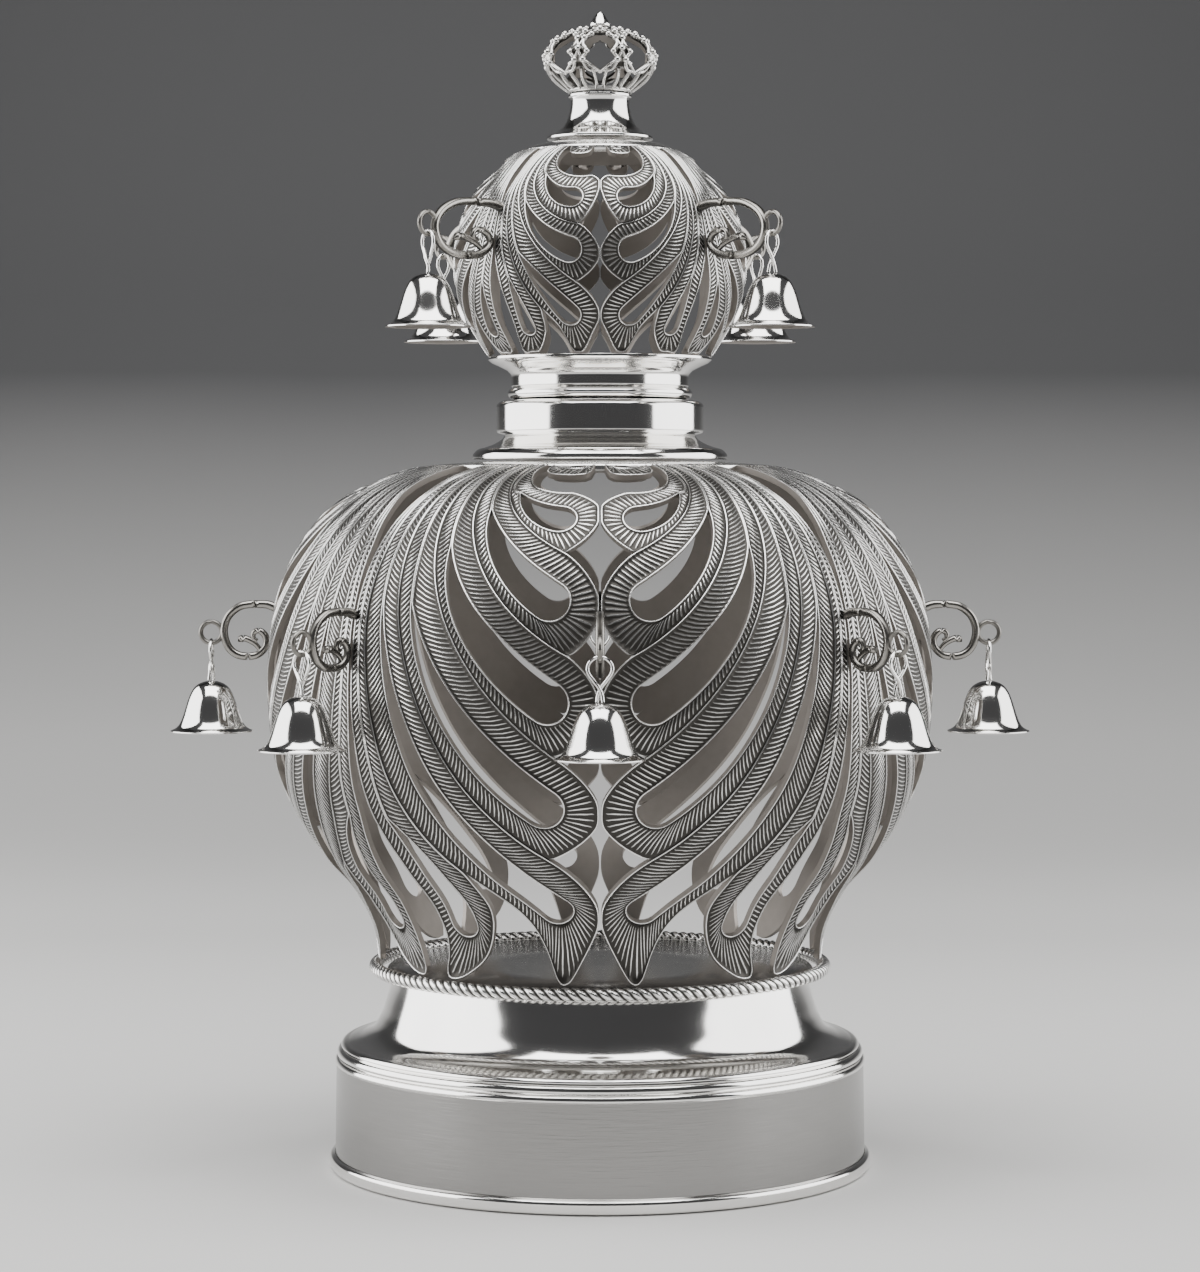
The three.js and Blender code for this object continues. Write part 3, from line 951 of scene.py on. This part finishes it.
        places, depths, reliefs = [], [], []
        for v, depth, relief in columns:
            back = -np.sign(beyond) * self.bow * slant * 4 * v * (1 - v) * np.clip(np.abs(lean), 0, 1)
            one = at_lengths(ribbon.outside, outer_reach, a + back)
            two = at_lengths(ribbon.hole, inner_reach, b + back)
            places.append(one + (two - one) * v[:, None])
            depths.append(depth)
            reliefs.append(relief)
        grid = np.stack(places, axis=1)
        depth = np.stack(depths, axis=1)
        relief = np.stack(reliefs, axis=1)
        every = np.unique(np.append(np.arange(0, len(a), 3), len(a) - 1))
        edge_low, edge_high = grid[every][:, [0, 0]], grid[every][:, [-1, -1]]
        across = np.linspace(0, 1, 3)[None, :, None]
        back_face = grid[every][:, :1] * (1 - across) + grid[every][:, -1:] * across
        for turn, side in copies:
            over = side > 0
            sheets.grid(self.skin.points(grid, depth, turn, side), relief, 0, flipped=not over)
            low = np.stack([np.full(len(every), self.sheet), depth[every, 0]], axis=1)
            high = np.stack([depth[every, -1], np.full(len(every), self.sheet)], axis=1)
            sheets.grid(self.skin.points(edge_low, low, turn, side), 0.4, 1, flipped=not over)
            sheets.grid(self.skin.points(edge_high, high, turn, side), 0.4, 1, flipped=not over)
            sheets.grid(self.skin.points(back_face, self.sheet, turn, side), 0.4, 1, flipped=over)

    def _rim(self, sheets: Sheets, start: float, stop: float) -> None:
        """Adds a quarter of the plain ring above the ribs.

        Args:
            sheets: What it is added to.
            start: Where the quarter starts, in degrees.
            stop: Where it stops.
        """
        s = np.array([0.0, 0.0, 0.5, 1.2, 2.0, 3.2, 6.0, 10.0])
        top = self.skin.length - self.pattern.rim
        s = self.pattern.rim + np.append(s[s < top - 0.5], [top - 0.3, top, top])
        depth = np.full(len(s), 0.15)
        depth[:5] = [self.sheet, 0.5, 0.0, 0.0, 0.3]
        depth[-1] = self.sheet
        angle = np.linspace(start, stop, 41)
        places = np.stack(np.meshgrid(angle, s, indexing="ij"), axis=-1)
        sheets.grid(self.skin.points(places, depth), 1.0, 0)
        sheets.grid(self.skin.points(places[:, [1, -1]], self.sheet), 1.0, 1, flipped=True)

    def build(self, finishes: Finishes) -> None:
        """Builds the quarters."""
        ribbons = self.ribbons()
        for quarter in range(SECTORS):
            turn = 90.0 * quarter
            sheets = Sheets()
            for ribbon in ribbons:
                self._lay(sheets, ribbon, [(turn, 1.0), (turn, -1.0)])
            self._rim(sheets, turn - HALF_SECTOR, turn + HALF_SECTOR)
            made = sheets.build(f"{self.node}_quarter_{quarter + 1}", (finishes.chased, finishes.lining))
            dressed(made, Slot.CHASED, self.node)


BODY = Openwork(
    node="body_shell",
    profile=(
        (71.2, 67), (72.3, 75.8), (78.4, 88.6), (89.3, 101.5), (97.6, 114.3), (103.2, 127.2), (106.2, 146),
        (106.2, 165), (103.8, 181.8), (99, 194.6), (90.4, 207.5), (78.7, 217.1), (62.2, 223.5), (41.6, 226.1),
        (37.5, 226.4),
    ),
    pattern=Pattern(
        rim=194,
        lines=(
            ((5.7, 167), (15.5, 166), (18.7, 176), (16.7, 194)),
            ((6, 142.5), (11.5, 147.5), (25, 162), (19.6, 194)),
            ((4.9, 110.5), (15.3, 120), (31.6, 150), (24.4, 194)),
            ((7.3, 80.7), (18.2, 95), (37.3, 130), (30.6, 194)),
            ((9.1, 46.5), (23, 62), (45, 115), (33.5, 194)),
            ((26.8, 40.3), (39.2, 58), (48.8, 125), (36.2, 194)),
        ),
        loops=(
            Loop(157, Opening((7.7, 155), (13.4, 157), (17.2, 167), 5)),
            Loop(125, Opening((8.2, 127), (18.7, 140), (22, 159), 6)),
            Loop(95, Opening((8.4, 97), (24.9, 118), (27.6, 145), 6.3)),
            Loop(63, Opening((9.6, 65), (27.8, 90), (32.8, 126), 6.3)),
            Loop(22.5, Opening((9.4, 26), (34.5, 62), (38.8, 126), 5.2)),
        ),
        contact=3.5,
        last_foot=((2.8, 11), (7.6, 0.3), (10, 0.3), (15.4, 19.5)),
        column=Column(
            opening=Opening((32.7, 19), (33.5, 44), (40.2, 60), 4.6),
            foot=(39, 0.3),
            outer=((36.5, 0.6), (28.4, 8), (24.3, 23)),
            inner=((41.4, 0.6), (39.4, 14), (40.6, 38)),
            slit=((60, 1.6), (92, 0.3), (126, 0.3), (145, 0.9), (159, 2.5), (167, 3.8), (194, 5.8)),
        ),
        hook=((1.5, 194), (3, 182), (8.5, 180), (14, 183), (14.8, 194)),
        hook_hole=Opening((6, 189.5), (9, 188.5), (12.4, 190.5), 2.2),
    ),
    pitch=1.7,
    border=0.5,
)

DOME = Openwork(
    node="dome_shell",
    profile=(
        (36.3, 259.9), (39.5, 265.3), (43, 271.7), (46.2, 280.5), (46.9, 289), (45.8, 299), (42.1, 309),
        (36.3, 316.7), (29.2, 323.1), (22.8, 326.3), (17, 328), (14, 328.5),
    ),
    pattern=Pattern(
        rim=75,
        lines=(
            ((3.4, 58.8), (16, 57), (29, 62), (21.5, 75)),
            ((8, 41.5), (22, 42.5), (41, 56), (27, 75)),
            ((9, 23.3), (21.5, 30), (49, 50), (33, 75)),
            ((24.6, 15), (36, 27), (47, 48), (37, 75)),
        ),
        loops=(
            Loop(55, Opening((11.8, 50.4), (20, 50.5), (26, 59.4), 3.4)),
            Loop(32, Opening((11.8, 33.3), (25, 37), (32.5, 49.6), 3.9)),
            Loop(12.5, Opening((12.8, 12.8), (22, 21), (33, 33), 3.5)),
        ),
        contact=1.6,
        last_foot=((3.2, 6.5), (8, 0.2), (13, 0.2), (18, 8.6)),
        column=Column(
            opening=Opening((33.4, 8.6), (34.5, 16), (37.5, 25), 2.5),
            foot=(36, 0.2),
            outer=((31, 0.4), (25, 7)),
            inner=((41, 0.4), (40.4, 12)),
            slit=((25, 2.4), (33, 0.5), (49.6, 0.5), (59.4, 2.2), (75, 3)),
        ),
        hook=((4, 75), (7, 69.8), (17, 69.8), (20, 75)),
        hook_hole=Opening((9.5, 73.2), (12, 72.8), (15, 73.4), 0.9),
    ),
    pitch=1.4,
    border=0.4,
    ground=0.45,
    ridge=0.4,
)


# ---- Turned pieces ----
@dataclass
class Base(Piece):
    """The hollow base: a rolled foot, a satin band between beads, and a bright waist."""

    band: float = 85.2
    segments: int = 192

    def build(self, finishes: Finishes) -> None:
        """Builds its bright mouldings and waist, its satin band and its dull hollow."""
        low, high = box_mm("base")
        foot, top, widest = low[2], high[2], (high[0] - low[0]) / 2
        band = self.band
        roll = through([(widest - 3, foot), (widest - 0.7, foot + 0.5), (widest, foot + 2.2),
                        (band + 1.7, foot + 4.2), (band + 0.2, foot + 5)], 6)
        sheets = Sheets()
        sheets.turn(np.vstack([[[widest - 5, foot]], roll]), self.segments)
        side = np.array([(band, 5), (band, 6), (band - 0.2, 20), (band - 0.4, 32.6), (band - 0.4, 33.4)])
        # The band takes the satin finish, with its painted dark reflection.
        sheets.turn(side + [0, foot], self.segments, 1)
        beads = through([(band - 0.4, 33.4), (band + 0.1, 34.2), (band - 0.3, 35.4), (band - 1.2, 35.8)], 5)
        second = through([(band - 1.2, 35.8), (band - 0.6, 36.8), (band - 1, 38.2), (band - 2.2, 38.8)], 5)
        third = through([(band - 2.2, 38.8), (band - 1.9, 39.6), (band - 2.7, 40.6), (band - 4.4, 41)], 5)
        waist = through([(band - 4.4, 41), (76.5, 42.3), (73, 44.6), (70.6, 48.6), (69, 53), (67.6, 57.6),
                         (66.6, top - foot)], 8)
        for part in (beads, second, third, waist):
            sheets.turn(part + [0, foot], self.segments)
        hollow = np.array([(66.6, top), (64.2, top), (68.6, foot + 46), (80.5, foot + 38), (82.6, foot + 34),
                           (82.8, foot + 4), (widest - 5, foot)])
        sheets.turn(filleted(hollow, 1), 96, 2)
        made = sheets.build("base_dressed", (finishes.bright, finishes.satin, finishes.lining))
        dressed(made, Slot.SATIN, "base")


@dataclass
class FloorPlate(Piece):
    """The plain round plate that closes the body's foot."""

    def build(self, finishes: Finishes) -> None:
        """Builds the plate."""
        low, high = box_mm("floor_plate")
        radius = (high[0] - low[0]) / 2
        outline = [(0.01, low[2]), (radius - 0.4, low[2]), (radius, low[2] + 0.4), (radius, high[2] - 0.4),
                   (radius - 0.4, high[2]), (radius * 0.5, high[2] - 0.15), (0.01, high[2] - 0.25)]
        sheets = Sheets()
        sheets.turn(np.array(outline), 128)
        # The plate takes the satin finish, and with it the painted dark reflection held in its colour.
        dressed(sheets.build("floor_plate_dressed", (finishes.satin,)), Slot.SATIN, "floor_plate")


@dataclass
class Rope(Piece):
    """The ring of twisted wire where the body stands on the base."""

    strands: int = 144
    steps: int = 6
    sides: int = 16
    depth: float = 0.75
    twist: float = 3.2

    def build(self, finishes: Finishes) -> None:
        """Builds the ring."""
        low, high = box_mm("rope_ring")
        thick = (high[2] - low[2]) / 2
        middle = (high[0] - low[0]) / 2 - thick
        angle = np.linspace(0, CIRCLE, self.strands * self.steps, endpoint=False)[:, None]
        around = np.linspace(0, CIRCLE, self.sides, endpoint=False)[None]
        slant = np.minimum(around, CIRCLE - around) * np.sign(math.pi - around)
        phase = (angle * self.strands + self.twist * slant) / 2
        height = np.abs(np.sin(phase)) ** 0.7
        radius = thick - self.depth * (1 - height)
        reach = middle + radius * np.cos(around)
        z = (low[2] + high[2]) / 2 + radius * np.sin(around)
        points = np.stack([reach * np.sin(angle), -reach * np.cos(angle), z], axis=-1)
        sheets = Sheets()
        sheets.grid(points, height**1.5, 0, round_rows=True, round_columns=True, flipped=True)
        dressed(sheets.build("rope_ring_dressed", (finishes.chased,)), Slot.CHASED, "rope_ring")


@dataclass
class Neck(Piece):
    """The turned neck between the body and the dome, and the collar that carries the little crown."""

    segments: int = 144

    def build(self, finishes: Finishes) -> None:
        """Builds both, bright outside and dull in the bore."""
        low, high = box_mm("neck")
        foot, top = low[2], high[2]
        flange = (high[0] - low[0]) / 2
        lip = filleted([(24.6, foot), (flange, foot), (flange, foot + 1.6), (flange - 1.6, foot + 3.4),
                        (37, foot + 3.9)], 1.2)
        cove = through([(37, foot + 3.9), (34, foot + 5), (31.4, foot + 6.6), (30.5, foot + 8)], 6)
        band = filleted([(30.5, foot + 8), (33.2, foot + 8.6), (33.2, foot + 17.7), (31.6, foot + 18.8),
                         (27.4, foot + 19.3)], 0.9)
        bead = through([(27.4, foot + 19.3), (28.9, foot + 19.8), (29.6, foot + 21.2), (28.9, foot + 22.5),
                        (27.8, foot + 23)], 5)
        collar = filleted([(27.8, foot + 23), (28.4, foot + 23.4), (28.4, foot + 27.2),
                           (29.8, foot + 28.6)], 0.8)
        cup = through([(29.8, foot + 28.6), (32.2, foot + 29.8), (34.6, top - 1.9), (35.8, top - 0.9)], 6)
        rim = filleted([(35.8, top - 0.9), (35.8, top), (24.6, top)], 0.4)
        sheets = Sheets()
        for part in (lip, cove, band, bead, collar, cup, rim):
            sheets.turn(part, self.segments)
        bore = np.array([(24.6, top), (24.6, foot)])
        sheets.turn(bore, 64, 1)
        dressed(sheets.build("neck_dressed", (finishes.bright, finishes.lining)), Slot.POLISHED, "neck")

        low, high = box_mm("finial_collar")
        foot, top = low[2], high[2]
        lip = filleted([(0.01, foot), (17, foot), (17, foot + 0.8), (15.6, foot + 1.5)], 0.5)
        sweep = through([(15.6, foot + 1.5), (13, foot + 3), (11, foot + 5.4), (9.9, foot + 8.4),
                         (9.4, foot + 11.6), (9.8, foot + 13.2)], 6)
        cap = filleted([(9.8, foot + 13.2), (10.2, foot + 13.5), (10.2, top), (0.01, top)], 0.4)
        sheets = Sheets()
        for part in (lip, sweep, cap):
            sheets.turn(part, 72)
        dressed(sheets.build("finial_collar_dressed", (finishes.bright,)), Slot.POLISHED, "finial_collar")


# ---- The little crown ----
@dataclass
class LittleCrown(Piece):
    """The small openwork crown on top: stems below, a lattice of cusped arches above, and a bud."""

    arches: int = 8
    stems: int = 24
    bar: float = 0.62

    def _outline(self) -> Skin:
        """Its bulb, from the foot up."""
        low, high = box_mm("little_crown")
        foot, top = low[2], high[2]
        rise = top - foot
        shape = [(9.9, 0), (12.6, 0.09), (15.4, 0.21), (17.5, 0.35), (18.4, 0.47), (18.3, 0.6), (17, 0.72),
                 (14.2, 0.84), (10, 0.93), (5.6, 0.985), (3.2, 1)]
        return Skin([(radius, foot + share * rise) for radius, share in shape])

    def _bar(self, sheets: Sheets, skin: Skin, places: Array, width: float, turn: float, side: float) -> None:
        """Adds a rounded bar laid along places of the bulb.

        Args:
            sheets: What it is added to.
            skin: The bulb.
            places: Its middle line.
            width: Half its width.
            turn: Degrees that it is turned by.
            side: 1, or -1 for the mirror image.
        """
        path = skin.points(places, 0.7, turn, side)
        out = skin.points(places, 0.0, turn, side) - path
        out /= np.linalg.norm(out, axis=1)[:, None]
        along = np.gradient(path, axis=0)
        along /= np.linalg.norm(along, axis=1)[:, None]
        across = np.cross(along, out)
        section = oval(width, 0.75, 8)
        points = path[:, None] + section[None, :, :1] * across[:, None] + section[None, :, 1:] * out[:, None]
        relief = np.clip(0.62 + 0.5 * section[:, 1] / 0.75, 0, 1)
        sheets.grid(points, relief[None], 0, round_columns=True)

    def _knob(self, sheets: Sheets, centre: Array, radius: float) -> None:
        """Adds a small round knob."""
        angle = np.linspace(-math.pi / 2 + 0.05, math.pi / 2 - 0.05, 7)
        profile = np.stack([radius * np.cos(angle), centre[2] + radius * np.sin(angle)], axis=1)
        sheets.turn(profile, 10, centre=(centre[0], centre[1]))

    def _pillar(self, sheets: Sheets, skin: Skin, arch: Sequence[Pair], turn: float) -> None:
        """Adds the sheet between one cusped opening and the next.

        Args:
            sheets: What it is added to.
            skin: The bulb.
            arch: Half the outline of an opening, in degrees and shares of the height.
            turn: Degrees to the middle of the first opening.
        """
        step = 360 / self.arches
        share = np.linspace(0.26, 0.96, 17)
        heights = [height for _, height in arch[1:]] + [0.9, 0.96]
        half = np.interp(share, heights, [degrees for degrees, _ in arch[1:]] + [0.0, 0.0])
        across = np.linspace(0, 1, 7)
        degrees = half[:, None] + (step - 2 * half[:, None]) * across
        places = np.stack([degrees, np.broadcast_to(share[:, None] * skin.length, degrees.shape)], axis=2)
        waves = np.sin(share * 46)[:, None] * np.sin(across * math.pi)
        sheets.grid(skin.points(places, 0.9, turn), np.clip(0.5 - 0.5 * waves, 0, 1), 0)
        sheets.grid(skin.points(places, 1.5, turn), 0.4, 1, flipped=True)

    def build(self, finishes: Finishes) -> None:
        """Builds the openwork, dull on its inner side, and the bright bud."""
        skin = self._outline()
        length = skin.length
        sheets = Sheets()
        ring_at = np.linspace(0, 360, 97)
        for share, width in ((0.012, 0.9), (0.985, 1.2)):
            ring = np.stack([ring_at, np.full(len(ring_at), share * length)], axis=1)
            self._bar(sheets, skin, ring, width, 0, 1)
        for stem in range(self.stems):
            sway = 2.2 * (1 if stem % 2 else -1)
            line = through([(0, 0), (sway, 0.11 * length), (-sway * 0.4, 0.27 * length)], 6)
            self._bar(sheets, skin, line, 0.5, 360 / self.stems * (stem + 0.5), 1)
        step = 360 / self.arches
        arch = [(step * 0.08, 0.24), (step * 0.3, 0.26), (step * 0.4, 0.36), (step * 0.3, 0.44),
                (step * 0.41, 0.53), (step * 0.38, 0.63), (step * 0.25, 0.67), (step * 0.27, 0.76),
                (step * 0.1, 0.76), (0, 0.83)]
        brace = [(0, 0.22), (step * 0.22, 0.3), (step * 0.4, 0.36)]
        web = [(step * 0.4, 0.36), (step / 2, 0.47), (step * 0.41, 0.6), (step / 2, 0.73),
               (step * 0.42, 0.85), (step * 0.5, 0.96)]
        beads = ((0.3, 0.44, 1.0), (0.25, 0.67, 1.0), (0.41, 0.6, 1.1), (0.1, 0.76, 0.8), (0.4, 0.36, 1.1))
        for index in range(self.arches):
            turn = index * step
            self._pillar(sheets, skin, arch, turn)
            for side in (1.0, -1.0):
                for shape, width in ((arch, self.bar), (brace, 0.45), (web, 0.5)):
                    line = through([(degrees, share * length) for degrees, share in shape], 6)
                    self._bar(sheets, skin, line, width, turn, side)
                for part, share, radius in beads:
                    spot = skin.points(np.array([[part * step, share * length]]), 0.35, turn, side)[0]
                    self._knob(sheets, spot, radius)
            for part, share, radius in ((0, 0.83, 1.3), (0.5, 0.47, 1.1), (0.5, 0.73, 1.1), (0, 0.91, 0.9)):
                spot = skin.points(np.array([[part * step, share * length]]), 0.2, turn)[0]
                self._knob(sheets, spot, radius)
        made = sheets.build("little_crown_dressed", (finishes.openwork, finishes.lining))
        dressed(made, Slot.CHASED, "little_crown")

        low, high = box_mm("finial_bud")
        foot, top = low[2], high[2]
        shape = through([(0.01, foot), (2, foot + 0.1), (2.3, foot + 1.2), (3.1, foot + 1.9),
                         (2.9, foot + 2.9), (2.1, foot + 4.3), (1.1, foot + 5.8), (0.01, top)], 5)
        sheets = Sheets()
        points = turned(shape, 36)
        flutes = 1 - 0.06 * (np.arange(36) % 6 == 0)
        points[..., :2] *= flutes[None, :, None]
        sheets.grid(points, 1, 0, round_columns=True)
        dressed(sheets.build("finial_bud_dressed", (finishes.bright,)), Slot.POLISHED, "finial_bud")


# ---- Bells and brackets ----
@dataclass
class BellRow(Piece):
    """One row of bells, each hung by a twisted wire from the ring of a C scroll."""

    name: str
    count: int
    reach: float
    scroll_from: Pair
    eye: Pair
    height: float = 8.3
    wire: float = 1.55
    ring: float = 3.4
    link: float = 3.4

    def _placed(self, points: Array, angle: float) -> Array:
        """Turns points from the plane of X and Z to the angle of one bell."""
        turn = np.array([[math.sin(angle), -math.cos(angle)], [math.cos(angle), math.sin(angle)]])
        made = points.copy()
        made[..., :2] = points[..., :2] @ turn
        return made

    def _bell(self, finishes: Finishes, number: int) -> None:
        """Builds one bell, bright outside and dull inside.

        Args:
            finishes: The crown's materials.
            number: Which bell it is.
        """
        node = f"{self.name}_bell_{number}"
        low, high = box_mm(node)
        centre = ((low[0] + high[0]) / 2, (low[1] + high[1]) / 2)
        outside = through([(13.2, 0.05), (13.15, 0.5), (12.1, 0.95), (10.9, 1.8), (10, 3.2), (9.2, 5.2),
                           (8.4, 7.7), (7.6, 10.2), (6.7, 12.4), (5.6, 14.2), (4.2, 15.4), (2.6, 16.1),
                           (1.2, 16.4), (0.01, 16.4)], 4)
        hollow = through([(13.2, 0.05), (11.6, 0.45), (10, 1.6), (9, 3.4), (8.1, 5.8), (6.9, 9.6),
                          (5.7, 12.4), (4.1, 14.4), (2.2, 15.3), (0.01, 15.5)], 4)
        sheets = Sheets()
        sheets.turn(outside + [0, low[2]], 48, 0, centre)
        sheets.turn(hollow + [0, low[2]], 40, 1, centre, flipped=True)
        made = sheets.build(f"{node}_dressed", (finishes.bright, finishes.lining))
        dressed(made, Slot.POLISHED, node)

    def _link(self, bright: Material, number: int, angle: float) -> None:
        """Builds the wire that hangs one bell.

        Args:
            bright: The wire's finish.
            number: Which bell it is for.
            angle: The direction of the bell, from X.
        """
        node = f"{self.name}_link_{number}"
        low, high = box_mm(node)
        rise = high[2] - low[2] - 0.6
        half = [(0.9, 0.7, 0.0), (0.5, 0.5, 0.18), (-0.5, 0.55, 0.34), (-0.47 * self.link, 0.3, 0.45),
                (-self.link, 0, 0.66), (-0.97 * self.link, 0, 0.84), (-self.link / 2, 0, 0.97)]
        other = [(-y, -x, share) for y, x, share in half]
        route = [*half, (0, 0, 1.0), *other[::-1]]
        path = through([(self.eye[0] + x, y, low[2] + share * rise) for y, x, share in route], 6)
        path = self._placed(path, angle)
        up = (math.cos(angle), math.sin(angle), 0.0)
        sheets = Sheets()
        sheets.grid(swept(path, oval(0.55, 0.55, 8), up), 1, 0, round_columns=True)
        dressed(sheets.build(f"{node}_dressed", (bright,)), Slot.POLISHED, node)

    def _bracket(self, chased: Material, number: int, angle: float) -> None:
        """Builds one C scroll with its volute, its leaf and its ring.

        Args:
            chased: The bracket's finish.
            number: Which bell it is for.
            angle: The direction of the bell, from X.
        """
        node = f"{self.name}_bracket_{number}"
        x0, z0 = self.scroll_from
        reach, height = self.reach, self.height
        route = [(-1, 0.9), (-0.72, 1.0), (-0.4, 1.02), (0, 1.01), (0.4, 0.92), (0.8, 0.6), (1, 0.15),
                 (0.98, -0.3), (0.8, -0.7), (0.48, -0.94), (0.1, -1), (-0.28, -0.95), (-0.55, -0.75),
                 (-0.68, -0.48), (-0.62, -0.2), (-0.42, -0.02), (-0.2, -0.05), (-0.14, -0.28), (-0.3, -0.4)]
        path = through([(x0 + x * reach, 0, z0 + z * height) for x, z in route], 5)
        share = np.linspace(0, 1, len(path))
        swell = np.interp(share, [0, 0.12, 0.5, 0.8, 1], [1.15, 1, 1, 0.85, 0.55])
        turns = np.linspace(0, CIRCLE, 12, endpoint=False)
        rib = 1 - 0.22 * np.maximum(0, np.cos(turns)) ** 6 - 0.22 * np.maximum(0, -np.cos(turns)) ** 6
        section = np.stack([self.wire * rib * np.cos(turns), self.wire * 0.86 * np.sin(turns)], axis=1)
        relief = np.clip(1.15 - 1.1 * np.abs(np.cos(turns)) ** 5, 0, 1)
        up = (-math.sin(angle), math.cos(angle), 0.0)
        sheets = Sheets()
        sheets.grid(self._placed_bar(path, section, up, angle, swell), relief[None], 0, round_columns=True)

        veins = [(-0.5, -0.86), (-0.2, -0.5), (0.22, -0.3), (0.46, -0.42)]
        leaf = through([(x0 + x * reach, 0, z0 + z * height) for x, z in veins], 6)
        grown = np.interp(np.linspace(0, 1, len(leaf)), [0, 0.55, 0.85, 1], [0.5, 0.8, 0.95, 0.2])
        sheets.grid(self._placed_bar(leaf, section, up, angle, grown), relief[None], 0, round_columns=True)

        turn = np.linspace(0, CIRCLE, 40, endpoint=False)
        across, up_ring = self.ring * np.cos(turn), self.ring * np.sin(turn)
        ring = np.stack([self.eye[0] + across, 0 * turn, self.eye[1] + up_ring], axis=1)
        closed = np.vstack([ring, ring[:1]])
        sheets.grid(self._placed_bar(closed, oval(0.8, 0.8, 8), up, angle, 1.0), 0.75, 0, round_columns=True)
        dressed(sheets.build(f"{node}_dressed", (chased,)), Slot.DARK, node)

    def _placed_bar(
        self, path: Array, section: Array, up: tuple[float, ...], angle: float, swell: Array | float
    ) -> Array:
        """A bar along a path of the plane of X and Z, turned to the angle of one bell."""
        return swept(self._placed(path, angle), section, up, swell)

    def build(self, finishes: Finishes) -> None:
        """Builds the row, with bright bells and wires on dark brackets."""
        for number in range(1, self.count + 1):
            low, high = box_mm(f"{self.name}_bell_{number}")
            angle = math.atan2((low[1] + high[1]) / 2, (low[0] + high[0]) / 2)
            self._bell(finishes, number)
            self._link(finishes.bright, number, angle)
            self._bracket(finishes.darkened, number, angle)


# ---- Studio ----
@dataclass
class Studio:
    """The floor, the lights and the camera."""

    distance: float = 1.124
    eye_level: float = 0.2139
    pitch: float = 2.225
    lens: float = 99.06
    aim: Spot = (0.0, 0.0, 0.17)

    def _floor(self) -> None:
        """A sheet of pale paper that curves up behind."""
        sweep = through([(-2.2, 0), (0.2, 0), (0.75, 0), (1.15, 0.06), (1.45, 0.3), (1.55, 0.8),
                         (1.56, 2.6)], 10)
        across = np.linspace(-2.4, 2.4, 9)
        points = np.stack([np.stack([across, np.full(9, y), np.full(9, z)], axis=1) for y, z in sweep])
        sheets = Sheets()
        sheets.grid(points / MM, 1, 0)
        made = sheets.build("studio_floor", (Paper().make(),))

    def _lamp(self, name: str, size: Pair, power: float, at: Spot) -> None:
        """Adds a soft lamp that faces the crown.

        Args:
            name: Its name.
            size: Its width and height, in metres.
            power: Its power, in watts.
            at: Where it stands.
        """
        data = bpy.data.lights.new(name, "AREA")
        data.shape = "RECTANGLE"
        data.size, data.size_y = size
        data.energy = power
        lamp = bpy.data.objects.new(name, data)
        lamp.location = at
        lamp.visible_camera = False
        lamp.rotation_euler = (Vector(self.aim) - Vector(at)).to_track_quat("-Z", "Y").to_euler()
        bpy.context.scene.collection.objects.link(lamp)

    def _camera(self) -> None:
        """Adds the camera."""
        data = bpy.data.cameras.new("camera")
        data.sensor_fit = "VERTICAL"
        data.sensor_height = 36.0
        data.lens = self.lens
        camera = bpy.data.objects.new("camera", data)
        camera.location = (0.0, -self.distance, self.eye_level)
        camera.rotation_euler = (math.radians(90 - self.pitch), 0.0, 0.0)
        bpy.context.scene.collection.objects.link(camera)
        bpy.context.scene.camera = camera

    def build(self) -> None:
        """Sets up the studio."""
        self._floor()
        self._lamp("left_softbox", (1.5, 1.0), 21, (-1.0, 0.05, 0.45))
        self._lamp("right_softbox", (1.35, 1.0), 17, (1.0, 0.05, 0.45))
        self._lamp("top_softbox", (1.3, 1.1), 26, (0.0, -0.35, 1.25))
        world = bpy.data.worlds.new("studio")
        world.use_nodes = True
        world.node_tree.nodes["Background"].inputs["Color"].default_value = (0.06, 0.06, 0.062, 1.0)
        bpy.context.scene.world = world
        self._camera()


def main() -> None:
    """Builds every piece in order."""
    logging.basicConfig(level=logging.INFO, format="%(message)s")
    finishes = Finishes(
        bright=Polished().make(),
        satin=Satin().make(),
        chased=Chased().make(),
        lining=Lining().make(),
        darkened=Chased(
            "darkened_bracket_silver", (0.36, 0.345, 0.32), (0.03, 0.028, 0.025), 0.35, 1.05
        ).make(),
        openwork=Chased("little_crown_silver", (0.6, 0.59, 0.57), (0.045, 0.042, 0.038), 0.35, 0.95).make(),
    )
    lower_bells = BellRow("lower", 8, 8.1, (112.6, 172), (124.9, 171.4))
    upper_bells = BellRow("upper", 4, 13.6, (57.5, 297.6), (74.2, 298.4), link=2.4)
    for piece in (Base(), FloorPlate(), Rope(), BODY, Neck(), DOME, LittleCrown(), lower_bells, upper_bells):
        piece.build(finishes)
    Studio().build()


if __name__ == "__main__":
    main()
